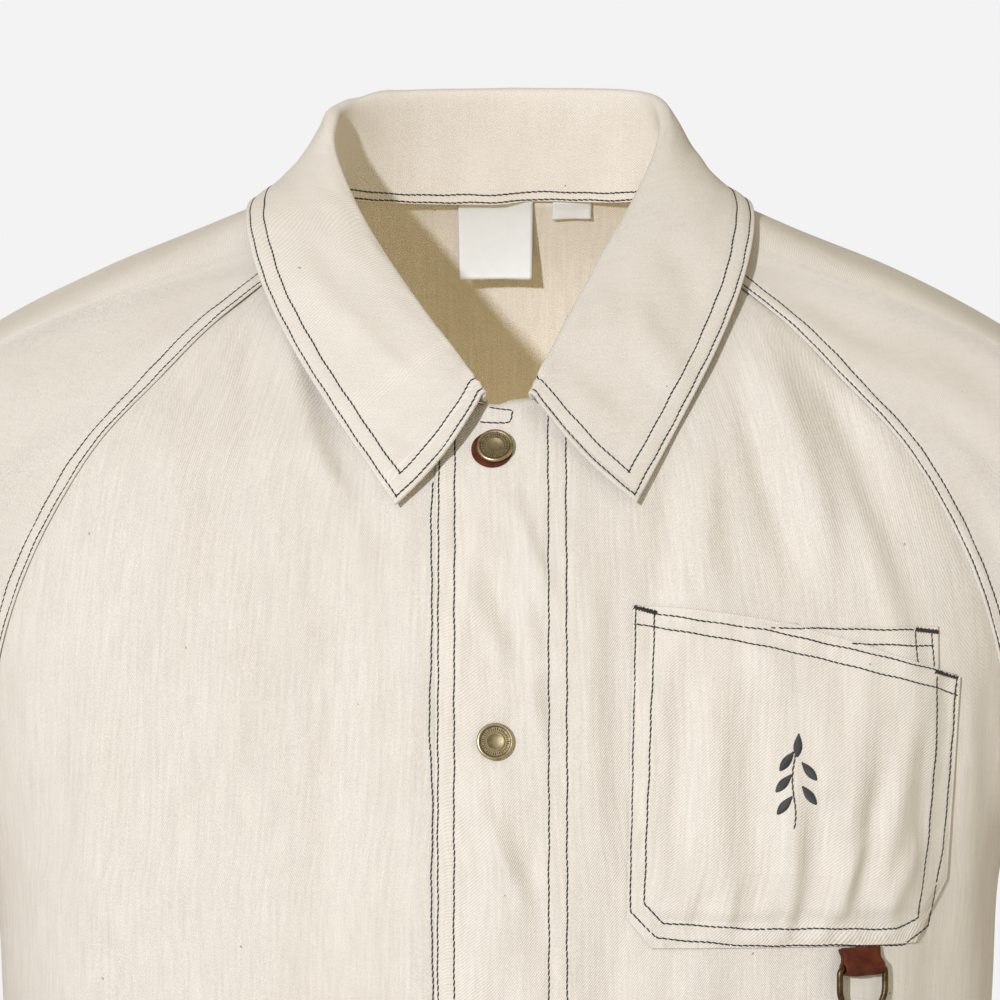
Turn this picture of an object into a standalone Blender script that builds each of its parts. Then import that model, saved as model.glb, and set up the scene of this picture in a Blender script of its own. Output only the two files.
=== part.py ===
"""Raglan denim jacket, worn shape with no wearer. Metres, +Z up, front faces -Y.

The origin is the middle of the neck base, where the shoulders hold the jacket.
Each cloth piece is a wall on one body form, bounded by its seams.
"""

import math

import bmesh
import bpy
import numpy as np
from mathutils import Vector
from mathutils.bvhtree import BVHTree

mm = 0.001

# driving sizes
CLOTH = 1.2 * mm
PLACKET_CLOTH = 1.6 * mm
COLLAR_CLOTH = 1.7 * mm
GAP = 0.45 * mm
AXIS_Y = 4 * mm
UNDERARM = -289 * mm
HEM = -706 * mm
PLACKET_EDGE = 27 * mm
PLACKET_LAP = 2.0 * mm
SNAP_RADIUS = 7.9 * mm
SNAP_HEIGHTS = (-105, -227.5, -350, -472.5, -595)
SNAP_X = -2 * mm
RING_WIRE = 1.35 * mm

# counts that every piece along a seam shares
SEAM_ROWS = 12
LOWER_ROWS = 8
FRONT_COLUMNS = 11
BACK_COLUMNS = 18
NECK_COLUMNS = 3
SLEEVE_CAP_ROWS = 8
COLLAR_HALF = 17

# body form: half width, depth in front of and behind the axis, squareness of the ring
BODY = {
    "height": (-706, -600, -450, -340, -286, -230, -185, -138, -98, -71, -50, -37, -16, 0, 10, 17),
    "width": (229, 226, 223, 221, 225, 243, 256, 264, 262, 250, 227, 200, 160, 124, 103, 86),
    "front": (146, 147, 149, 150, 149, 145, 138, 124, 105, 86, 71, 60, 42, 28, 20, 14),
    "back": (132, 128, 126, 129, 130, 129, 127, 123, 117, 111, 105, 100, 90, 78, 69, 61),
    "square": (2.5, 2.5, 2.5, 2.5, 2.5, 2.45, 2.4, 2.3, 2.2, 2.1, 2.05, 2, 2, 2, 2, 2),
}

# neck seam, angle 0 at the centre front and 180 at the centre back
NECKLINE = {
    "angle": (0, 8, 15.5, 27.6, 38.9, 50.4, 61.7, 69.4, 75, 85, 95, 105, 113, 135, 180),
    "height": (-86, -84, -79, -67, -53, -36, -20, -7, 3, 12, 15.5, 15.5, 15, 14, 14),
}

# raglan seams from the neck to the underarm
FRONT_SEAM = {
    "angle": (69.4, 65.8, 63.8, 63.7, 64.3, 65.4, 67.4, 69.4, 73.4, 78.6, 84.5, 90),
    "height": (-7, -34, -69, -98, -128, -157, -193, -220, -252, -273, -285, -289),
}
BACK_SEAM = {
    "angle": (113, 119, 121, 119.5, 117, 114.5, 112, 108.5, 104, 98, 90),
    "height": (15, -12, -45, -80, -115, -150, -190, -230, -260, -280, -289),
}

# largest folds of the body: place and slant in degrees, the rest in mm
BODY_FOLDS = (
    {"angle": -52, "height": -235, "slant": 12, "long": 120, "wide": 24, "deep": 3.5},
    {"angle": -30, "height": -330, "slant": 6, "long": 170, "wide": 26, "deep": -2.5},
    {"angle": -66, "height": -400, "slant": 4, "long": 210, "wide": 26, "deep": 4.0},
    {"angle": 58, "height": -470, "slant": -5, "long": 190, "wide": 26, "deep": 3.5},
    {"angle": 31, "height": -560, "slant": -3, "long": 160, "wide": 24, "deep": -2.5},
    {"angle": 84, "height": -420, "slant": 6, "long": 170, "wide": 24, "deep": -3.0},
    {"angle": -40, "height": -590, "slant": 2, "long": 150, "wide": 24, "deep": 3.0},
    {"angle": 112, "height": -380, "slant": -8, "long": 200, "wide": 27, "deep": 4.5},
    {"angle": 150, "height": -300, "slant": -14, "long": 190, "wide": 26, "deep": -3.0},
    {"angle": -148, "height": -330, "slant": 12, "long": 200, "wide": 27, "deep": 3.5},
    {"angle": -116, "height": -400, "slant": 7, "long": 200, "wide": 27, "deep": 4.0},
    {"angle": 176, "height": -520, "slant": 3, "long": 190, "wide": 28, "deep": 3.5},
    {"angle": -165, "height": -560, "slant": 2, "long": 150, "wide": 25, "deep": -3.0},
    {"angle": 135, "height": -590, "slant": 3, "long": 140, "wide": 26, "deep": 3.0},
)
FOLD_RADIUS = 190 * mm

# sleeve: centre line and half sizes across and front to back
SLEEVE = {
    "x": (288, 306, 324, 338, 349, 358, 364),
    "y": (2, 6, 8, 3, -8, -24, -38),
    "z": (-283, -338, -396, -452, -510, -568, -624),
    "across": (62, 60, 58, 55.5, 52, 48.5, 46),
    "deep": (77, 73, 68, 63, 58, 53, 50),
    "tilt": (14, 16, 15, 13, 11, 9, 7),
}
SLEEVE_RINGS = 11
SLEEVE_RADIUS = 65 * mm
SLEEVE_LENGTH = 560 * mm
SHOULDER_FULL = 24 * mm

# largest folds of a sleeve: angle from the outside, share of the way down
SLEEVE_FOLDS = (
    {"angle": -95, "down": 0.10, "slant": 40, "long": 70, "wide": 16, "deep": -3.5},
    {"angle": -60, "down": 0.24, "slant": 55, "long": 60, "wide": 15, "deep": 3.0},
    {"angle": -120, "down": 0.36, "slant": 72, "long": 60, "wide": 14, "deep": 3.5},
    {"angle": -110, "down": 0.46, "slant": 84, "long": 70, "wide": 14, "deep": -4.0},
    {"angle": 120, "down": 0.30, "slant": -50, "long": 70, "wide": 16, "deep": 3.5},
    {"angle": 100, "down": 0.55, "slant": -66, "long": 60, "wide": 15, "deep": 3.0},
    {"angle": -80, "down": 0.72, "slant": 70, "long": 55, "wide": 14, "deep": 3.0},
    {"angle": 60, "down": 0.80, "slant": -72, "long": 60, "wide": 15, "deep": -2.5},
    {"angle": 10, "down": 0.90, "slant": 80, "long": 55, "wide": 14, "deep": 2.5},
)

# collar from the centre back to each front end: seam angle, roll and leaf edge
COLLAR_RIGHT = {
    "share": (0, 0.2, 0.35, 0.42, 0.5, 0.62, 0.8, 1),
    "seam": (180, 140, 102, 88, 77, 62, 35, 3),
    "roll_x": (0, 62, 80, 76, 67, 53, 30, 6),
    "roll_y": (64, 48, 20, 4, -15, -40, -75, -103),
    "roll_z": (62, 59.5, 46, 29, 9, -17, -49, -79.5),
    "edge_x": (0, 59, 98, 112, 115, 107, 84, 44),
    "edge_y": (95, 84, 50, 21, -14, -48, -84, -121),
    "edge_z": (-9, -2, 9, 13, 5, -27, -71, -129),
}
COLLAR_LEFT = {
    "share": (0, 0.2, 0.35, 0.42, 0.5, 0.62, 0.8, 1),
    "seam": (180, 140, 102, 88, 77, 62, 36, 8),
    "roll_x": (0, 62, 78, 73, 61, 47.5, 31, 12.5),
    "roll_y": (64, 48, 20, 4, -15, -38, -72, -102.5),
    "roll_z": (62, 60.5, 50, 31, 9, -16, -46, -80.5),
    "edge_x": (0, 59, 98, 112, 115, 108, 89, 57.6),
    "edge_y": (95, 84, 50, 21, -14, -48, -83, -119),
    "edge_z": (-9, -2, 9, 13, 5, -28, -71, -128),
}
ROLL_RADIUS = 3.2 * mm
ROLL_END_RADIUS = 2.9 * mm

# pocket corners in the front view
POCKET = {
    "corner": ("top inner", "top outer", "side", "low outer", "bottom outer", "bottom inner", "low inner"),
    "x": (55.5, 199, 194, 183, 178, 63, 52.5),
    "z": (-171.5, -202, -288, -306, -314.5, -313.5, -301),
}
INNER_POCKET = {"left": 66 * mm, "right": 187 * mm, "top": -180.5 * mm, "bottom": -300 * mm}

ECRU = (0.80, 0.74, 0.62, 1.0)
BRASS = (0.42, 0.33, 0.19, 1.0)
LEATHER = (0.25, 0.09, 0.035, 1.0)
SATIN = (0.88, 0.87, 0.84, 1.0)


def smooth_table(xs, ys, x):
    """A smooth curve through a table's points; xs ascend."""
    xs = np.asarray(xs, float)
    ys = np.asarray(ys, float)
    x = np.clip(x, xs[0], xs[-1])
    slope = np.gradient(ys, xs)
    k = np.clip(np.searchsorted(xs, x, side="right") - 1, 0, len(xs) - 2)
    h = xs[k + 1] - xs[k]
    t = (x - xs[k]) / h
    a = (1 + 2 * t) * (1 - t) ** 2 * ys[k] + t**2 * (3 - 2 * t) * ys[k + 1]
    return a + h * (t * (1 - t) ** 2 * slope[k] - t**2 * (1 - t) * slope[k + 1])


def ease(value, low, high):
    """0 below low, 1 above high, smooth between."""
    t = np.clip((value - low) / (high - low), 0, 1)
    return t * t * (3 - 2 * t)


def unit(v):
    return v / np.maximum(np.linalg.norm(v, axis=-1, keepdims=True), 1e-12)


def fold_sum(folds, along, across, wrap):
    """Height of all folds at places given in metres round and down the surface."""
    total = np.zeros(np.broadcast(along, across).shape)
    for fold in folds:
        du = across - fold["u"]
        du = (du + wrap / 2) % wrap - wrap / 2
        dv = along - fold["v"]
        lean = math.radians(fold["slant"])
        side = du * math.cos(lean) - dv * math.sin(lean)
        run = du * math.sin(lean) + dv * math.cos(lean)
        bump = np.exp(-((side / (fold["wide"] * mm)) ** 2) - (run / (fold["long"] * mm)) ** 4)
        total = total + fold["deep"] * mm * bump
    return total


def body_folds(theta, z):
    placed = [
        {**f, "u": math.radians(f["angle"]) * FOLD_RADIUS, "v": f["height"] * mm}
        for f in BODY_FOLDS
    ]
    hem_wave = 2.2 * mm * np.sin(7 * theta + 0.6) * ease(-z, 0.50, 0.70)
    return fold_sum(placed, z, theta * FOLD_RADIUS, 2 * math.pi * FOLD_RADIUS) + hem_wave


def body(theta, z, lift=0.0):
    """Outer surface of the body form at an angle from the centre front and a height."""
    theta = np.asarray(theta, float)
    z = np.asarray(z, float)
    theta, z = np.broadcast_arrays(theta, z)
    h = np.array(BODY["height"]) * mm
    width = smooth_table(h, BODY["width"], z) * mm
    front = smooth_table(h, BODY["front"], z) * mm
    back = smooth_table(h, BODY["back"], z) * mm
    n = smooth_table(h, BODY["square"], z)
    c = np.cos(theta)
    s = np.sin(theta)
    deep = np.where(c >= 0, front, back)
    r = ((np.abs(s) / width) ** n + (np.abs(c) / deep) ** n) ** (-1 / n)
    r = r + body_folds(theta, z)
    points = np.stack([r * s, AXIS_Y - r * c, z], -1)
    if np.any(lift):
        step = 1e-3
        du = body(theta + step, z) - body(theta - step, z)
        dv = body(theta, z + step) - body(theta, z - step)
        points = points + unit(np.cross(du, dv)) * np.asarray(lift)[..., None]
    return points


def angle_at(x, z):
    """Angle of the body's front where its x has this value."""
    theta = np.arctan2(x, 0.1)
    for _ in range(12):
        theta = theta + (x - body(theta, z)[..., 0]) * 8
    return theta


def neck_height(theta):
    degrees = np.abs(np.degrees(theta))
    return smooth_table(NECKLINE["angle"], NECKLINE["height"], degrees) * mm


def seam_rows():
    """Shares of a raglan seam at its rows, closer together at the underarm."""
    t = np.linspace(0, 1, SEAM_ROWS + 1)
    return 1 - (1 - t) ** 1.15


def seam(table, side):
    """Angles and heights down a raglan seam; side is 1 on the wearer's left."""
    angle = np.radians(table["angle"])
    height = np.array(table["height"]) * mm
    points = body(angle, height)
    run = np.concatenate([[0], np.cumsum(np.linalg.norm(np.diff(points, axis=0), axis=1))])
    t = seam_rows() * run[-1]
    return side * smooth_table(run, angle, t), smooth_table(run, height, t)


def grid_normals(points, closed, sign):
    """Outward normals of a grid of points, rows down and columns round."""
    down = np.gradient(points, axis=0)
    if closed:
        across = np.roll(points, -1, axis=1) - np.roll(points, 1, axis=1)
    else:
        across = np.gradient(points, axis=1)
    return unit(np.cross(down, across)) * sign


def wall(points, thick, closed=False, sign=1.0, normals=None):
    """Vertices and faces of a wall whose outer side is this grid."""
    rows, columns = points.shape[:2]
    if normals is None:
        normals = grid_normals(points, closed, sign)
    inner = points - normals * np.broadcast_to(thick, (rows, columns))[..., None]
    vertices = np.concatenate([points.reshape(-1, 3), inner.reshape(-1, 3)])
    half = rows * columns
    faces = []
    last = columns if closed else columns - 1
    for i in range(rows - 1):
        for j in range(last):
            k = (j + 1) % columns
            a, b, c, d = i * columns + j, i * columns + k, (i + 1) * columns + k, (i + 1) * columns + j
            faces.append((a, b, c, d))
            faces.append((half + d, half + c, half + b, half + a))
    for j in range(last):
        k = (j + 1) % columns
        top = (j, k)
        low = ((rows - 1) * columns + j, (rows - 1) * columns + k)
        faces.append((top[1], top[0], half + top[0], half + top[1]))
        faces.append((low[0], low[1], half + low[1], half + low[0]))
    if not closed:
        for i in range(rows - 1):
            a, b = i * columns, (i + 1) * columns
            c, d = a + columns - 1, b + columns - 1
            faces.append((a, b, half + b, half + a))
            faces.append((d, c, half + c, half + d))
    return vertices, faces


def material(name, colour, roughness, metallic=0.0):
    made = bpy.data.materials.new(name)
    made.use_nodes = True
    shader = made.node_tree.nodes["Principled BSDF"]
    shader.inputs["Base Color"].default_value = colour
    shader.inputs["Roughness"].default_value = roughness
    shader.inputs["Metallic"].default_value = metallic
    return made


def add_object(name, vertices, faces, colour, roughness=0.9, metallic=0.0, sharp=45, parent=None):
    """One named solid with its faces pointing out."""
    mesh = bpy.data.meshes.new(name)
    origin = np.array(parent.location) if parent else np.zeros(3)
    shifted = np.asarray(vertices, float) - origin
    mesh.from_pydata([tuple(v) for v in shifted], [], faces)
    shaped = bmesh.new()
    shaped.from_mesh(mesh)
    bmesh.ops.triangulate(shaped, faces=shaped.faces)
    bmesh.ops.recalc_face_normals(shaped, faces=shaped.faces)
    shaped.to_mesh(mesh)
    shaped.free()
    mesh.shade_smooth()
    mesh.set_sharp_from_angle(angle=math.radians(sharp))
    mesh.materials.append(material(name, colour, roughness, metallic))
    made = bpy.data.objects.new(name, mesh)
    bpy.context.collection.objects.link(made)
    if parent:
        made.parent = parent
    return made


def tree_of(made):
    """Search tree of an object's faces in world space."""
    mesh = made.data
    vertices = [made.matrix_world @ v.co for v in mesh.vertices]
    return BVHTree.FromPolygons(vertices, [tuple(p.vertices) for p in mesh.polygons])


def front_panel(side):
    """Outer grid and wall thickness of one front."""
    top = side > 0
    seam_angle, seam_z = seam(FRONT_SEAM, side)
    edge_x = -PLACKET_EDGE if top else 24 * mm
    shares = np.linspace(0, 1, FRONT_COLUMNS + 1)
    shares = shares * 0.82 + 0.18 * shares**2
    rows = []
    t = seam_rows()
    for i in range(SEAM_ROWS + 1):
        edge_z = neck_height(0.2) + (UNDERARM - neck_height(0.2)) * t[i]
        start = angle_at(np.array(edge_x), np.array(edge_z))
        gap_angle = side * GAP / 2 / 0.2
        theta = start + (seam_angle[i] - gap_angle - start) * shares
        if i == 0:
            first = neck_height(theta)
            fall = (first - first[0]) / (first[-1] - first[0])
            z = first
        else:
            shape = fall * (1 - t[i]) + shares * t[i]
            z = edge_z + (seam_z[i] - edge_z) * shape
            z = z + (first[0] - neck_height(0.2)) * (1 - t[i]) * (1 - shape)
        rows.append(np.stack([theta, z], -1))
    for z in np.linspace(UNDERARM, HEM, LOWER_ROWS + 1)[1:]:
        start = angle_at(np.array(edge_x), np.array(z))
        end = side * (math.pi / 2 - GAP / 2 / 0.225)
        theta = start + (end - start) * shares
        rows.append(np.stack([theta, np.full_like(theta, z)], -1))
    places = np.array(rows)
    if top:
        near = np.exp(-np.arange(len(rows)) / 1.0)[:, None]
        places[..., 1] -= 4 * mm * (1 - ease(places[..., 0], -0.03, 0.06)) * near
    flat = body(places[..., 0], places[..., 1])
    x = flat[..., 0]
    if top:
        lift = PLACKET_LAP * (1 - ease(x, 26 * mm, 60 * mm))
        band = 1 - ease(x, 30 * mm, 34 * mm)
    else:
        lift = np.zeros_like(x)
        band = ease(x, -34 * mm, -30 * mm)
    thick = CLOTH + (PLACKET_CLOTH - CLOTH) * band
    return body(places[..., 0], places[..., 1], lift + 1e-9), thick


def back_panel():
    left_angle, left_z = seam(BACK_SEAM, 1)
    shares = np.linspace(0, 1, BACK_COLUMNS + 1)
    t = seam_rows()
    rows = []
    gap_angle = GAP / 2 / 0.2
    for i in range(SEAM_ROWS + 1):
        start = left_angle[i] + gap_angle
        theta = start + (2 * math.pi - 2 * start) * shares
        half = np.where(theta > math.pi, 2 * math.pi - theta, theta)
        if i == 0:
            z = neck_height(half)
            middle = z[BACK_COLUMNS // 2]
            drop = z - middle
        else:
            centre = middle + (UNDERARM - middle) * t[i]
            z = centre + (left_z[i] - centre) * np.abs(2 * shares - 1) ** 2
            z = z + (drop - drop[0] * np.abs(2 * shares - 1) ** 2) * (1 - t[i])
        rows.append(np.stack([theta, z], -1))
    for z in np.linspace(UNDERARM, HEM, LOWER_ROWS + 1)[1:]:
        start = math.pi / 2 + GAP / 2 / 0.225
        theta = start + (2 * math.pi - 2 * start) * shares
        rows.append(np.stack([theta, np.full_like(theta, z)], -1))
    places = np.array(rows)
    return body(places[..., 0], places[..., 1], 1e-9), CLOTH


def sleeve_loop(side):
    """The closed edge of a sleeve: neck piece, back seam down, front seam up."""
    front_angle, front_z = seam(FRONT_SEAM, side)
    back_angle, back_z = seam(BACK_SEAM, side)
    neck_angle = np.linspace(front_angle[0], back_angle[0], NECK_COLUMNS + 1)
    theta = np.concatenate([neck_angle, back_angle[1:], front_angle[::-1][1:-1]])
    z = np.concatenate([neck_height(neck_angle), back_z[1:], front_z[::-1][1:-1]])
    return theta, z


def sleeve(side):
    theta, z = sleeve_loop(side)
    edge = body(theta, z, 0.35 * mm)
    count = len(theta)
    step = 1e-3
    round_way = unit(body(theta + step, z) - body(theta - step, z))
    down_way = unit(body(theta, z + step) - body(theta, z - step))
    skin = unit(np.cross(round_way, down_way))
    tangent = unit(np.roll(edge, -1, axis=0) - np.roll(edge, 1, axis=0))
    away = unit(np.cross(tangent, skin))
    outward = np.array([side, 0, 0])
    away = away * np.sign(np.sum(away * outward, -1, keepdims=True) + 1e-6)
    low = ease(-z, 0.225, 0.289)[:, None]

    steps = np.linalg.norm(np.diff(np.concatenate([edge, edge[:1]]), axis=0), axis=1)
    run = np.concatenate([[0], np.cumsum(steps)])[:-1]
    total = steps.sum()
    crest = run[0] + (run[NECK_COLUMNS] - run[0]) * 0.5
    under = run[NECK_COLUMNS + SEAM_ROWS]
    psi = np.zeros(count)
    for j in range(count):
        along = (run[j] - crest) % total
        back_length = (under - crest) % total
        if along <= back_length:
            psi[j] = math.pi * along / back_length
        else:
            psi[j] = -math.pi * (total - along) / (total - back_length)
    psi = np.where(psi > math.pi - 1e-9, math.pi, psi)

    def ring(k_share):
        keys = np.linspace(0, 1, len(SLEEVE["x"]))
        centre = np.array([smooth_table(keys, SLEEVE[c], k_share) for c in ("x", "y", "z")]) * mm
        across = smooth_table(keys, SLEEVE["across"], k_share) * mm
        deep = smooth_table(keys, SLEEVE["deep"], k_share) * mm
        tilt = math.radians(float(smooth_table(keys, SLEEVE["tilt"], k_share)))
        lean = np.array([math.cos(tilt), 0, math.sin(tilt)])
        forward = np.array([0, 1, 0])
        points = centre + np.cos(psi)[:, None] * across * lean + np.sin(psi)[:, None] * deep * forward
        return points

    first = ring(0.0)
    ahead = unit(ring(0.02) - first)
    mirror = np.array([side, 1, 1])
    begin = edge * mirror
    face = skin * mirror
    aim = first - begin
    aim = unit(aim - np.sum(aim * face, -1, keepdims=True) * face)
    leave = unit(away * mirror * 0.45 + aim * 0.75)
    leave = unit(leave * (1 - low) + np.array([1.4, 0, 0]) * low)
    chord = np.linalg.norm(first - begin, axis=1)[:, None]
    top = np.clip(np.cos(psi), 0, 1)[:, None]
    start_pull = chord * (0.85 + 0.25 * top)
    end_pull = chord * (0.85 + 0.25 * top)
    begin = begin + leave * GAP
    rows = []
    for t in np.linspace(0, 1, SLEEVE_CAP_ROWS + 1):
        h00 = (1 + 2 * t) * (1 - t) ** 2
        h10 = t * (1 - t) ** 2
        h01 = t * t * (3 - 2 * t)
        h11 = -t * t * (1 - t)
        rows.append(h00 * begin + h10 * start_pull * leave + h01 * first + h11 * end_pull * ahead)
    for k_share in np.linspace(0, 1, SLEEVE_RINGS + 1)[1:]:
        rows.append(ring(k_share))
    points = np.array(rows)

    down = np.linspace(0, 1, len(rows))[:, None] * np.ones(count)
    normals = grid_normals(points, True, 1.0)
    radius = SLEEVE_RADIUS
    placed = []
    for fold in SLEEVE_FOLDS:
        angle, drop, slant = fold["angle"], fold["down"] * SLEEVE_LENGTH, fold["slant"]
        if side < 0:
            angle, drop, slant = angle * 0.85 + 6, drop * 0.93 + 14 * mm, slant * 0.9
        placed.append({**fold, "u": math.radians(angle) * radius, "v": drop, "slant": slant})
    height = fold_sum(placed, down * SLEEVE_LENGTH, psi * radius, 2 * math.pi * radius)
    keep = ease(down, 0.05, 0.3) * (1 - 0.8 * ease(-np.cos(psi), 0.6, 1.0) * (1 - ease(down, 0.4, 0.6)))
    shoulder = SHOULDER_FULL * np.exp(-((psi / 1.05) ** 2)) * np.exp(-(((down - 0.22) / 0.12) ** 2))
    points = points + normals * (height * keep + shoulder * ease(down, 0, 0.1))[..., None]
    points = points * np.array([side, 1, 1])
    return points, CLOTH


def spline(controls, count):
    """Points along a smooth curve through the control points; controls is K x N x 3."""
    k = len(controls)
    padded = np.concatenate([2 * controls[:1] - controls[1:2], controls, 2 * controls[-1:] - controls[-2:-1]])
    out = []
    for value in count:
        i = min(int(value), k - 2)
        t = value - i
        p0, p1, p2, p3 = padded[i], padded[i + 1], padded[i + 2], padded[i + 3]
        out.append(
            0.5 * (2 * p1 + (p2 - p0) * t + (2 * p0 - 5 * p1 + 4 * p2 - p3) * t**2
                   + (3 * p1 - p0 - 3 * p2 + p3) * t**3)
        )
    return np.array(out)


def evened(points, passes):
    """A line of points with its small kinks averaged out and its ends kept."""
    points = points.copy()
    for _ in range(passes):
        points[1:-1] = (points[:-2] + 2 * points[1:-1] + points[2:]) / 4
    return points


def collar():
    """Middle grid of the collar, rows across the section, columns along the neck."""
    halves = []
    for side, table in ((-1, COLLAR_RIGHT), (1, COLLAR_LEFT)):
        share = np.linspace(0, 1, COLLAR_HALF + 1)

        def read(name):
            return smooth_table(table["share"], table[name], share)

        seam_angle = side * np.radians(read("seam"))
        on_lap = PLACKET_LAP if side > 0 else 0.0
        seam_x = body(seam_angle, neck_height(seam_angle))[..., 0]
        seam_lift = on_lap * (1 - ease(seam_x, 26 * mm, 60 * mm))
        seam_point = body(seam_angle, neck_height(seam_angle), seam_lift + 1e-9)
        roll = np.stack([side * read("roll_x"), read("roll_y"), read("roll_z")], -1) * mm
        edge = np.stack([side * read("edge_x"), read("edge_y"), read("edge_z")], -1) * mm
        radius = ROLL_RADIUS + (ROLL_END_RADIUS - ROLL_RADIUS) * ease(share, 0.7, 1)
        skin = unit(body(seam_angle, neck_height(seam_angle), 1 * mm) - body(seam_angle, neck_height(seam_angle)))
        halves.append((seam_point, roll, edge, radius[:, None], skin))
    right, left = halves
    seam_point, roll, edge, radius, out = (
        np.concatenate([right[i][::-1], left[i][1:]]) for i in range(5)
    )
    roll = evened(roll, 3)
    edge = evened(edge, 2)
    along = unit(evened(np.gradient(roll, axis=0), 4))
    chord = (seam_point + edge) / 2
    up = roll - chord
    up = unit(evened(unit(up - np.sum(up * along, -1, keepdims=True) * along), 4))
    out = evened(out, 6)
    out = out - np.sum(out * along, -1, keepdims=True) * along
    out = unit(out - np.sum(out * up, -1, keepdims=True) * up)
    stand_way = unit(roll - seam_point)
    begin = seam_point + stand_way * 1.2 * mm
    inside = roll - out * radius - up * radius * 1.2
    outside = roll + out * radius - up * radius * 1.2
    fall = edge - outside
    puff = unit(np.cross(along, fall))
    puff = puff * np.sign(np.sum(puff * (out + up), -1, keepdims=True))
    puff_size = np.linalg.norm(fall, axis=1, keepdims=True) * 0.05
    controls = np.array([
        begin,
        begin + (inside - begin) * 0.5,
        inside,
        roll,
        outside,
        outside + fall * 0.3 + puff * puff_size,
        outside + fall * 0.65 + puff * puff_size * 0.8,
        edge,
    ])
    stations = (0, 0.5, 1, 1.6, 2, 2.35, 2.7, 3, 3.3, 3.65, 4, 4.5, 5, 5.5, 6, 6.5, 7)
    return spline(controls, stations)


def collar_wall():
    middle = collar()
    normals = grid_normals(middle, False, 1.0)
    outer = middle + normals * COLLAR_CLOTH / 2
    return wall(outer, COLLAR_CLOTH, normals=normals)


def on_surface(tree, x, z, start_y=-0.4):
    """Point and normal of the front's outer face at a place of the front view."""
    hit, normal, _, _ = tree.ray_cast(Vector((x, start_y, z)), Vector((0, 1, 0)))
    return np.array(hit), np.array(normal)


def nearest_face(trees, x, z, start_y):
    """First face met by a ray along +Y, over several solids."""
    best = None
    for tree in trees:
        hit, normal, _, distance = tree.ray_cast(Vector((x, start_y, z)), Vector((0, 1, 0)))
        if hit is not None and (best is None or distance < best[0]):
            best = (distance, np.array(hit), np.array(normal))
    return best


def patch(trees, x, z, lift, thick, start_y=-0.4):
    """A cloth wall on the first faces met from start_y; x and z are grids of the front view."""
    rows, columns = x.shape
    hits = np.zeros((rows, columns, 3))
    for i in range(rows):
        for j in range(columns):
            hits[i, j] = nearest_face(trees, x[i, j], z[i, j], start_y)[1]
    normals = grid_normals(hits, False, 1.0)
    if normals[rows // 2, columns // 2, 1] > 0:
        normals = -normals
    under = hits + normals * lift[..., None]
    weights = [(u, v) for u in (0, 0.25, 0.5, 0.75, 1) for v in (0, 0.25, 0.5, 0.75, 1)]
    for _ in range(8):
        push = np.zeros((rows, columns))
        for i in range(rows - 1):
            for j in range(columns - 1):
                a, b = under[i, j], under[i, j + 1]
                c, d = under[i + 1, j], under[i + 1, j + 1]
                lack = 0.0
                for u, v in weights:
                    p = (a * (1 - v) + b * v) * (1 - u) + (c * (1 - v) + d * v) * u
                    found = nearest_face(trees, p[0], p[2], start_y)
                    if found is not None:
                        room = (found[1][1] - p[1]) * abs(normals[i, j, 1])
                        lack = max(lack, lift[i, j] * 0.9 - room)
                corner = push[i:i + 2, j:j + 2]
                push[i:i + 2, j:j + 2] = np.maximum(corner, lack)
        under = under + normals * (push * 0.8)[..., None]
        if push.max() < 0.02 * mm:
            break
    outer = under + normals * thick[..., None]
    return wall(outer, thick, normals=normals)


def outline_grid(corners_left, corners_right, shares):
    """Grid between two side lines that run from the top edge to the bottom edge."""
    left = np.array(corners_left)
    right = np.array(corners_right)
    t = np.array(shares)[None, :, None]
    return left[:, None, :] * (1 - t) + right[:, None, :] * t


def polyline(points, shares):
    """Points at these shares of a polyline's own corner numbers."""
    points = np.array(points, float)
    out = []
    for value in shares:
        i = min(int(value), len(points) - 2)
        out.append(points[i] + (points[i + 1] - points[i]) * (value - i))
    return np.array(out)


def turned(profile, count, place, normal):
    """A turned solid about an axis along normal; profile is radius and height, both ends on the axis."""
    axis = unit(np.array(normal))
    side = unit(np.cross(axis, np.array([0.0, 0.0, 1.0])))
    other = np.cross(axis, side)
    vertices = []
    faces = []
    rings = profile[1:-1]
    for radius, height in rings:
        for k in range(count):
            a = 2 * math.pi * k / count
            vertices.append(place + axis * height + radius * (math.cos(a) * side + math.sin(a) * other))
    for i in range(len(rings) - 1):
        for k in range(count):
            n = (k + 1) % count
            faces.append((i * count + k, i * count + n, (i + 1) * count + n, (i + 1) * count + k))
    for end, ring_index in ((0, 0), (-1, len(rings) - 1)):
        vertices.append(place + axis * profile[end][1])
        centre = len(vertices) - 1
        for k in range(count):
            faces.append((ring_index * count + k, ring_index * count + (k + 1) % count, centre))
    return np.array(vertices), faces


def snap_profile(base):
    """Cap of a snap with a raised rim, from its underside to its dished face."""
    r = SNAP_RADIUS
    return [
        (0, base),
        (r * 0.80, base),
        (r, base + 0.7 * mm),
        (r * 0.99, base + 1.5 * mm),
        (r * 0.90, base + 2.1 * mm),
        (r * 0.80, base + 1.7 * mm),
        (r * 0.55, base + 1.6 * mm),
        (0, base + 1.7 * mm),
    ]


def disc(tree, x, z, lift, thick, radius, count):
    """A flat round washer that follows the front."""
    place, normal = on_surface(tree, x, z)
    profile = [(0, lift), (radius, lift), (radius, lift + thick), (0, lift + thick)]
    return turned(profile, count, place, normal)


def turn_about(centre, yaw, vertices, faces):
    """Turns points about the vertical through centre."""
    c, s = math.cos(yaw), math.sin(yaw)
    p = vertices - centre
    turned_points = np.stack([p[:, 0] * c - p[:, 1] * s, p[:, 0] * s + p[:, 1] * c, p[:, 2]], -1)
    return turned_points + centre, faces


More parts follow.
